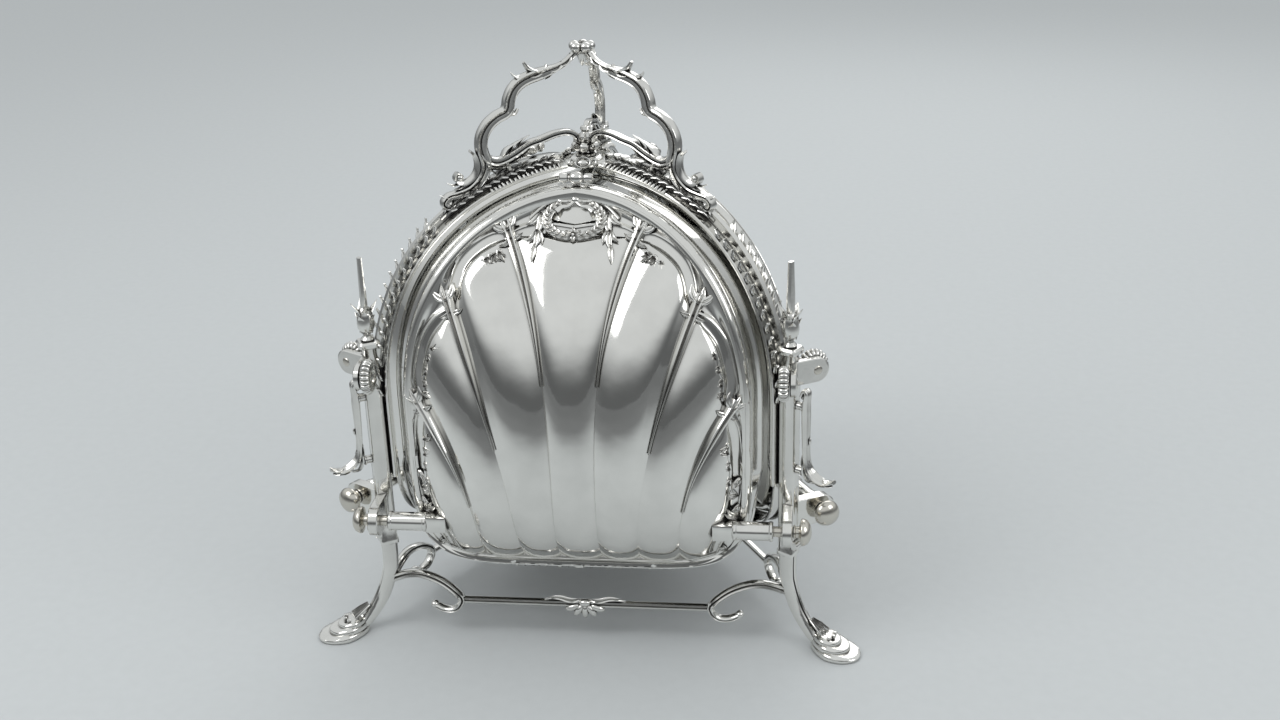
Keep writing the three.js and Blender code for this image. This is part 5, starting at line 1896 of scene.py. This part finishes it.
@dataclass
class Lid:
    """Inner lid of a bowl: a thin panel pierced with a rosette of holes, a rolled rim and a hinge barrel."""

    out: float = 58.5
    thick: float = 1.4
    rim: float = 2.2
    half_size: float = 40
    barrel_radius: float = 2.4
    barrel_half: float = 30
    # Each ring of holes: their number, distance of their root and tip from the middle, and width
    rosette: tuple[tuple[int, float, float, float], ...] = (
        (1, -3, 3, 6), (8, 5.6, 13.6, 6.2), (16, 16, 24.4, 6), (24, 27, 31.4, 4.8), (8, 33.4, 40, 6.6),
    )

    def outline(self, plain: Model, axis: Vector) -> list[Pair]:
        """Edge of the panel, across and up, round the plain lid.

        Args:
            plain: The plain lid.
            axis: The box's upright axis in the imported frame.

        Returns:
            The edge.
        """
        foot = DOME.lid_hinge_z + self.barrel_radius + 0.2
        corners = [((corner.co.x - axis.x) / MM, corner.co.z / MM) for corner in plain.data.vertices]
        panel = [(x, z) for x, z in corners if z > foot]
        edge = [panel[i] for i in convex_hull_2d(panel)]
        start = min(range(len(edge)), key=lambda i: (round(edge[i][1], 2), -edge[i][0]))
        loop = [*edge[start:], *edge[:start]]
        peak = max(range(len(loop)), key=lambda i: loop[i][1])
        shoulder, top = loop[peak - 1], loop[peak][1]
        crest = []
        steps = 8
        for k in range(2 * steps + 1):
            share = 1 - k / steps
            crest.append((shoulder[0] * share, top - (top - shoulder[1]) * share * share))
        return [(0, loop[0][1]), *loop[:peak - 1], *crest, *loop[peak + 2:]]

    def add_piercings(self, middle_z: float) -> Model:
        """All the cutters for the rosette's holes as one object.

        Args:
            middle_z: Height of the rosette's middle.

        Returns:
            The cutters.
        """
        cutters = []
        for count, root, tip, wide in self.rosette:
            for i in range(count):
                lean = math.tau * (i + 0.5) / count
                rings = [[], []]
                for k in range(14):
                    turn = math.tau * k / 14
                    along = mix(root, tip, 0.5 - 0.5 * math.cos(turn))
                    across = wide / 2 * math.sin(turn) * (1 - 0.3 * math.cos(turn))
                    x = along * math.cos(lean) - across * math.sin(lean)
                    z = middle_z + along * math.sin(lean) + across * math.cos(lean)
                    rings[0].append(Vector((x, -self.out - 2, z)))
                    rings[1].append(Vector((x, -self.out + 2, z)))
                cutters.append(add_rings("piercing", rings))
        return join("piercings", cutters)

    def model(self, plain: Model, axis: Vector) -> Model:
        """The lid on the front face.

        Args:
            plain: The plain lid of the front face, whose edge it keeps.
            axis: The box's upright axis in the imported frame.

        Returns:
            The model.
        """
        edge = self.outline(plain, axis)
        middle_z = (max(z for _, z in edge) + DOME.lid_hinge_z + self.barrel_radius) / 2
        middle = Vector((0, -self.out, middle_z))
        loop = [Vector((x, -self.out, z)) for x, z in edge]
        rings = []
        for side, size in ((-0.5, 0.97), (-0.4, 0.98), (0.4, 0.98), (0.5, 0.97)):
            shift = Vector((0, side * self.thick, 0))
            rings.append([middle + (point - middle) * size + shift for point in loop])
        panel = add_rings("panel", rings)
        cutters = self.add_piercings(middle_z)
        pick(panel)
        hole = panel.modifiers.new("pierced", "BOOLEAN")
        hole.operation = "DIFFERENCE"
        hole.object = cutters
        bpy.ops.object.modifier_apply(modifier="pierced")
        remove(cutters)
        inset = 1 - self.rim / 2 / self.half_size
        around = [middle + (point - middle) * inset for point in (*loop, loop[0])]
        rim = add_bar("rim", around, SLIM_ROUND, self.rim, self.rim, ups=FRONTWARD)
        radius, half = self.barrel_radius, self.barrel_half
        size = (2 * half - 0.6, self.thick, 2.6)
        tongue = add_block("tongue", size, (0, -self.out, DOME.lid_hinge_z + 3), 0.2)
        barrel = add_turned("barrel", [
            (1.5, -half), (radius - 0.3, -half), (radius, -half + 0.3), (radius, -10.3), (radius - 0.4, -10),
            (radius, -9.7), (radius, 9.7), (radius - 0.4, 10), (radius, 10.3), (radius, half - 0.3),
            (radius - 0.3, half), (1.5, half), (1.5, -half),
        ], 20)
        lay(barrel, (0, -DOME.lid_pin_out, DOME.lid_hinge_z))
        return join("lid", [panel, rim, tongue, barrel])


def colour(code: str) -> tuple[float, float, float, float]:
    """Linear colour of an sRGB hex code.

    Args:
        code: The hex code with its number sign.

    Returns:
        Red, green, blue and full cover.
    """
    parts = [int(code[i:i + 2], 16) / 255 for i in (1, 3, 5)]
    light = [part / 12.92 if part <= 0.04045 else ((part + 0.055) / 1.055) ** 2.4 for part in parts]
    return light[0], light[1], light[2], 1.0


def add_node(
    tree: Tree, kind: str, settings: dict[str, object], sockets: dict[str | int, object]
) -> bpy.types.Node:
    """Add a shader node.

    Args:
        tree: The node tree.
        kind: The node's type.
        settings: Properties of the node.
        sockets: For each input, its value or the output socket that feeds it.

    Returns:
        The node.
    """
    node = tree.nodes.new(kind)
    for name, value in settings.items():
        setattr(node, name, value)
    for name, value in sockets.items():
        if isinstance(value, Socket):
            tree.links.new(value, node.inputs[name])
        else:
            node.inputs[name].default_value = value
    return node


@dataclass(frozen=True)
class SilverFinish:
    """Silver plate or pin metal: its colours, polish, creases darkened partly by oxide and partly by painted
    shade, and unevenness.
    """

    name: str
    bright: str
    oxide_and_painted_shade: str
    polish: float
    dull: float
    recess: float
    reach: float
    wave_size: float
    wave_height: float

    def make(self) -> Material:
        """The finish as a material, its patterns in real millimetres on the object's own coordinates.

        Returns:
            The material.
        """
        finish = bpy.data.materials.new(self.name)
        finish.use_nodes = True
        tree = finish.node_tree
        shader = tree.nodes["Principled BSDF"]
        shader.inputs["Metallic"].default_value = 1
        place = add_node(tree, "ShaderNodeTexCoord", {}, {}).outputs["Object"]
        # Painted shade with some oxide: where ambient occlusion finds the creases of the ornament, the colour
        # darkens towards the crease colour
        shut = add_node(tree, "ShaderNodeAmbientOcclusion", {"samples": 12}, {"Distance": self.reach * MM})
        deep = add_node(tree, "ShaderNodeMapRange", EASED, {
            "Value": shut.outputs["AO"], "From Min": 0.3, "From Max": 0.86,
            "To Min": self.recess, "To Max": 0.0,
        })
        # Clouds of handling about 14 mm across, a faint warmth and loss of polish
        cloud = add_node(tree, "ShaderNodeTexNoise", {}, {
            "Vector": place, "Scale": 1 / (14 * MM), "Detail": 3.0,
        })
        hazy = add_node(tree, "ShaderNodeMapRange", {}, {
            "Value": cloud.outputs["Fac"], "From Min": 0.35, "From Max": 0.75, "To Max": 0.1,
        })
        dark = add_node(tree, "ShaderNodeMath", {"operation": "ADD", "use_clamp": True}, {
            0: deep.outputs["Result"], 1: hazy.outputs["Result"],
        })
        # The crease colour is partly oxide and partly painted shade; the handling clouds add a little real
        # warmth towards it
        tint = add_node(tree, "ShaderNodeMix", COLOURS, {
            "Factor": dark.outputs["Value"], "A": colour(self.bright), "B": colour(self.oxide_and_painted_shade),
        })
        tree.links.new(tint.outputs[2], shader.inputs["Base Color"])
        rough = add_node(tree, "ShaderNodeMapRange", {}, {
            "Value": dark.outputs["Value"], "To Min": self.polish, "To Max": self.dull,
        })
        tree.links.new(rough.outputs["Result"], shader.inputs["Roughness"])
        # Polishing strokes 0.5 mm wide and many times as long, drawn as coarse as the render can show
        strokes = add_node(tree, "ShaderNodeMapping", {}, {"Vector": place, "Scale": (2000, 2000, 110)})
        fine = add_node(tree, "ShaderNodeTexNoise", {}, {
            "Vector": strokes.outputs["Vector"], "Scale": 1.0, "Detail": 1.0,
        })
        scratch = add_node(tree, "ShaderNodeBump", {}, {
            "Height": fine.outputs["Fac"], "Strength": 0.5, "Distance": 0.006 * MM,
        })
        wave = add_node(tree, "ShaderNodeTexNoise", {}, {
            "Vector": place, "Scale": 1 / (self.wave_size * MM), "Detail": 1.5,
        })
        uneven = add_node(tree, "ShaderNodeBump", {}, {
            "Height": wave.outputs["Fac"], "Strength": 1.0, "Distance": self.wave_height * MM,
            "Normal": scratch.outputs["Normal"],
        })
        tree.links.new(uneven.outputs["Normal"], shader.inputs["Normal"])
        return finish


# Electroplated silver on sheet, stamped and burnished: near-mirror, with waves that the hammer and die left
SHEET_SILVER = SilverFinish(
    "burnished_silver_plate_on_sheet", "#EDECE8", "#3B3734", 0.07, 0.45, 0.72, 2.6, 11, 0.09)
# Silver plate over castings, polished by hand: bright rods and leaves over creases painted nearly black,
# partly oxide and partly painted shade
CAST_SILVER = SilverFinish(
    "hand_polished_cast_silver_plate", "#E9E8E4", "#252220", 0.11, 0.5, 0.92, 2.2, 3, 0.05)
# Turned nickel silver worn bare of its plate: a little darker and warmer, with a satin shine
PIN_METAL = SilverFinish(
    "turned_nickel_silver", "#D6D2C9", "#38342F", 0.16, 0.5, 0.8, 1.6, 5, 0.03)
# Silver plate that nobody polishes, inside the bowls: softer shine with the sheet's waves
LID_SILVER = SilverFinish(
    "satin_silver_plate_lid", "#D9D7D0", "#4A4540", 0.24, 0.5, 0.6, 2.0, 8, 0.05)


@dataclass(frozen=True)
class Studio:
    """Pale floor, soft lamps, a pale room and the camera at the photograph's viewing angle."""

    eye: tuple[float, float, float] = (0.10728, -0.73006, 0.41839)
    azimuth: float = 6.91
    elevation: float = 22.89
    roll: float = -1.76
    lens: float = 42.6
    sensor_width: float = 36
    aim: tuple[float, float, float] = (0, 0, 0.13)
    backdrop: str = "#BBBFC0"
    floor: str = "#C2C6C7"
    floor_size: float = 40

    def add_camera(self) -> None:
        """Camera on the eye, looking back along its azimuth and elevation, a little rolled."""
        az, el, roll = math.radians(self.azimuth), math.radians(self.elevation), math.radians(self.roll)
        back = Vector((math.sin(az) * math.cos(el), -math.cos(az) * math.cos(el), math.sin(el)))
        level = Vector((math.cos(az), math.sin(az), 0))
        up = back.cross(level)
        right = level * math.cos(roll) + up * math.sin(roll)
        top = up * math.cos(roll) - level * math.sin(roll)
        data = bpy.data.cameras.new("camera")
        data.lens = self.lens
        data.sensor_width = self.sensor_width
        camera = bpy.data.objects.new("camera", data)
        bpy.context.collection.objects.link(camera)
        camera.matrix_world = Matrix.Translation(self.eye) @ Matrix((right, top, back)).transposed().to_4x4()
        bpy.context.scene.camera = camera

    def add_floor(self) -> None:
        """Wide pale floor of matt board."""
        clear_selection()
        bpy.ops.mesh.primitive_plane_add(size=self.floor_size)
        floor = bpy.context.object
        floor.name = "floor"
        board = bpy.data.materials.new("matt_pale_board")
        board.use_nodes = True
        tree = board.node_tree
        shader = tree.nodes["Principled BSDF"]
        shader.inputs["Roughness"].default_value = 0.75
        place = add_node(tree, "ShaderNodeTexCoord", {}, {}).outputs["Object"]
        grain = add_node(tree, "ShaderNodeTexNoise", {}, {
            "Vector": place, "Scale": 1 / (6 * MM), "Detail": 4.0,
        })
        tint = add_node(tree, "ShaderNodeMix", COLOURS, {
            "Factor": grain.outputs["Fac"], "A": colour(self.floor), "B": colour("#BCC0C1"),
        })
        # Painted shade seen in the silver: for glossy rays the floor is painted darker further out, falling
        # off to the dim room beyond the pale board
        out = add_node(tree, "ShaderNodeVectorMath", {"operation": "LENGTH"}, {0: place})
        far = add_node(tree, "ShaderNodeMapRange", EASED, {
            "Value": out.outputs["Value"], "From Min": 0.26, "From Max": 0.8,
        })
        ray = add_node(tree, "ShaderNodeLightPath", {}, {})
        dim = add_node(tree, "ShaderNodeMath", {"operation": "MULTIPLY"}, {
            0: far.outputs["Result"], 1: ray.outputs["Is Glossy Ray"],
        })
        board_tint = add_node(tree, "ShaderNodeMix", COLOURS, {
            "Factor": dim.outputs["Value"], "A": tint.outputs[2], "B": colour("#6E7071"),
        })
        tree.links.new(board_tint.outputs[2], shader.inputs["Base Color"])
        floor.data.materials.append(board)

    def add_room(self) -> None:
        """Pale room, seen by the camera and in the silver; the silver also sees its darker far side."""
        world = bpy.data.worlds.new("pale_room")
        bpy.context.scene.world = world
        world.use_nodes = True
        tree = world.node_tree
        background = tree.nodes["Background"]
        ray = add_node(tree, "ShaderNodeLightPath", {}, {})
        way = add_node(tree, "ShaderNodeTexCoord", {}, {}).outputs["Generated"]
        split = add_node(tree, "ShaderNodeSeparateXYZ", {}, {"Vector": way})
        # The side of the room opposite the backdrop is unlit up to about 25 degrees
        high = add_node(tree, "ShaderNodeMapRange", EASED, {
            "Value": split.outputs["Z"], "From Min": 0.06, "From Max": 0.42,
        })
        sky = add_node(tree, "ShaderNodeMapRange", EASED, {
            "Value": split.outputs["Z"], "From Min": -0.05, "From Max": 0.5,
        })
        wall = add_node(tree, "ShaderNodeMix", COLOURS, {
            "Factor": sky.outputs["Result"], "A": colour("#8E9192"), "B": colour("#DCDFE0"),
        })
        near = add_node(tree, "ShaderNodeMapRange", EASED, {
            "Value": split.outputs["Y"], "From Min": -0.75, "From Max": 0.1,
        })
        lit = add_node(tree, "ShaderNodeMath", {"operation": "MAXIMUM"}, {
            0: high.outputs["Result"], 1: near.outputs["Result"],
        })
        seen = add_node(tree, "ShaderNodeMix", COLOURS, {
            "Factor": lit.outputs["Value"], "A": colour("#606263"), "B": wall.outputs[2],
        })
        room = add_node(tree, "ShaderNodeMix", COLOURS, {
            "Factor": ray.outputs["Is Glossy Ray"], "A": colour("#E6E8E9"), "B": seen.outputs[2],
        })
        sight = add_node(tree, "ShaderNodeMath", {"operation": "MAXIMUM"}, {
            0: ray.outputs["Is Camera Ray"], 1: ray.outputs["Is Transmission Ray"],
        })
        shown = add_node(tree, "ShaderNodeMix", COLOURS, {
            "Factor": sight.outputs["Value"], "A": room.outputs[2], "B": colour(self.backdrop),
        })
        tree.links.new(shown.outputs[2], background.inputs["Color"])

    def add_lamps(self) -> None:
        """Large soft lamps: a key from the upper left, a fill from the right and a low glow from behind."""
        for name, at, size, power in (
            ("key", (-0.75, -0.55, 1.05), 0.7, 4.4),
            ("fill", (1.0, -0.45, 0.75), 0.6, 2.2),
            ("rim", (0.25, 1.1, 0.9), 0.8, 3.0),
        ):
            clear_selection()
            bpy.ops.object.light_add(type="AREA", location=at)
            lamp = bpy.context.object
            lamp.name = name
            lamp.data.size = size
            lamp.data.energy = power
            lamp.rotation_euler = (Vector(at) - Vector(self.aim)).to_track_quat("Z", "Y").to_euler()

    def build(self) -> None:
        """Set the whole studio up."""
        bpy.context.scene.view_settings.view_transform = "Standard"
        self.add_camera()
        self.add_floor()
        self.add_room()
        self.add_lamps()


def dress_faces(place: Place, plate: Material, cast: Material, pin: Material) -> None:
    """Give each face its bowl, thumb piece, stretcher, pins, roundels and rivets.

    Args:
        place: Where the pieces go.
        plate: Finish of the bowls.
        cast: Finish of the castings.
        pin: Finish of the pins.
    """
    bowl, disc = Bowl(), Roundel()
    thumb = bowl.thumb_piece()
    shell = bowl.model()
    rail = Stretcher().model()
    sides = (
        ("pin", HingePin().model(), "hinge_pin", Slot.PIN, pin),
        ("wheel", disc.model(), "roundel", Slot.CAST, cast),
        ("stud", disc.rivet(), "rivet", Slot.PIN, pin),
    )
    swapped = {word: copied(model, Matrix.Diagonal((-1, 1, 1, 1))) for word, model, _, _, _ in sides}
    for face, turn in FACES.items():
        body = f"{face}_bowl"
        place.hand_over(shell, f"{face}_shell", turn, body, plate, [f"{face}_bowl"])
        place.hand_over(thumb, f"{face}_thumb_bar", turn, body, cast, [f"{face}_thumb_piece"])
        place.hand_over(rail, f"{face}_rail", turn, "frame", cast, [f"{face}_stretcher"])
        for word, right, node, slot, finish in sides:
            for side, model in (("right", right), ("left", swapped[word])):
                nodes = [f"{face}_{side}_{node}"]
                place.hand_over(model, f"{face}_{side}_{word}", turn, "frame", finish, nodes)
    for model in (shell, thumb, rail, *swapped.values(), *(entry[1] for entry in sides)):
        remove(model)


def dress_frame(place: Place, cast: Material) -> None:
    """Give each corner its post, finial, half arch, handle arm, leaf bracket and leg; the axis its crown.

    Args:
        place: Where the pieces go.
        cast: Finish of the castings.
    """
    post, crown = Post(), Crown()
    models = (
        ("post", "pillar", post.model()), ("post_finial", "spear", post.finial()),
        ("half_arch", "strap", HalfArch().model()), ("handle_arm", "scroll", HandleArm().model()),
        ("leaf_bracket", "leaf", LeafBracket().model()), ("leg", "foot", Leg().model()),
    )
    for corner, turn in CORNERS.items():
        for node, word, model in models:
            name = f"{corner}_{word}"
            place.hand_over(model, name, turn + CORNER_TURN, "frame", cast, [f"{corner}_{node}"])
    for _, _, model in models:
        remove(model)
    for node, word, model in (
        ("crest_boss", "crest", crown.crest_boss()), ("handle_boss", "palmette", crown.handle_boss()),
        ("handle_finial", "rosette", crown.finial()),
    ):
        place.hand_over(model, word, 0, "frame", cast, [node])
        remove(model)


def dress_lids(place: Place, lid: Material, pin: Material) -> None:
    """Give each bowl its pierced lid, and the lids' plain pins their finish.

    Args:
        place: Where the pieces go.
        lid: Finish of the lids.
        pin: Finish of the pins.
    """
    model = Lid().model(bpy.data.objects["front_lid"], place.axis)
    for face, turn in FACES.items():
        place.hand_over(model, f"{face}_pierced_lid", turn, f"{face}_lid", lid, [f"{face}_lid"])
        rod = bpy.data.objects[f"{face}_lid_hinge_pin"]
        rod.data.materials.clear()
        rod.data.materials.append(pin)
        log.info("%s: keeps its plain shape", rod.name)
    remove(model)


def main() -> None:
    """Build the pieces, the finishes and the studio."""
    logging.basicConfig(level=logging.INFO, format="%(name)s: %(message)s")
    low, high = (Vector(corner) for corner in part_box("handle_finial"))
    place = Place(Vector(((low.x + high.x) / 2, (low.y + high.y) / 2, 0)))
    cast, pin = CAST_SILVER.make(), PIN_METAL.make()
    dress_faces(place, SHEET_SILVER.make(), cast, pin)
    dress_frame(place, cast)
    dress_lids(place, LID_SILVER.make(), pin)
    Studio().build()
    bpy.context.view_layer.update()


if __name__ == "__main__":
    main()
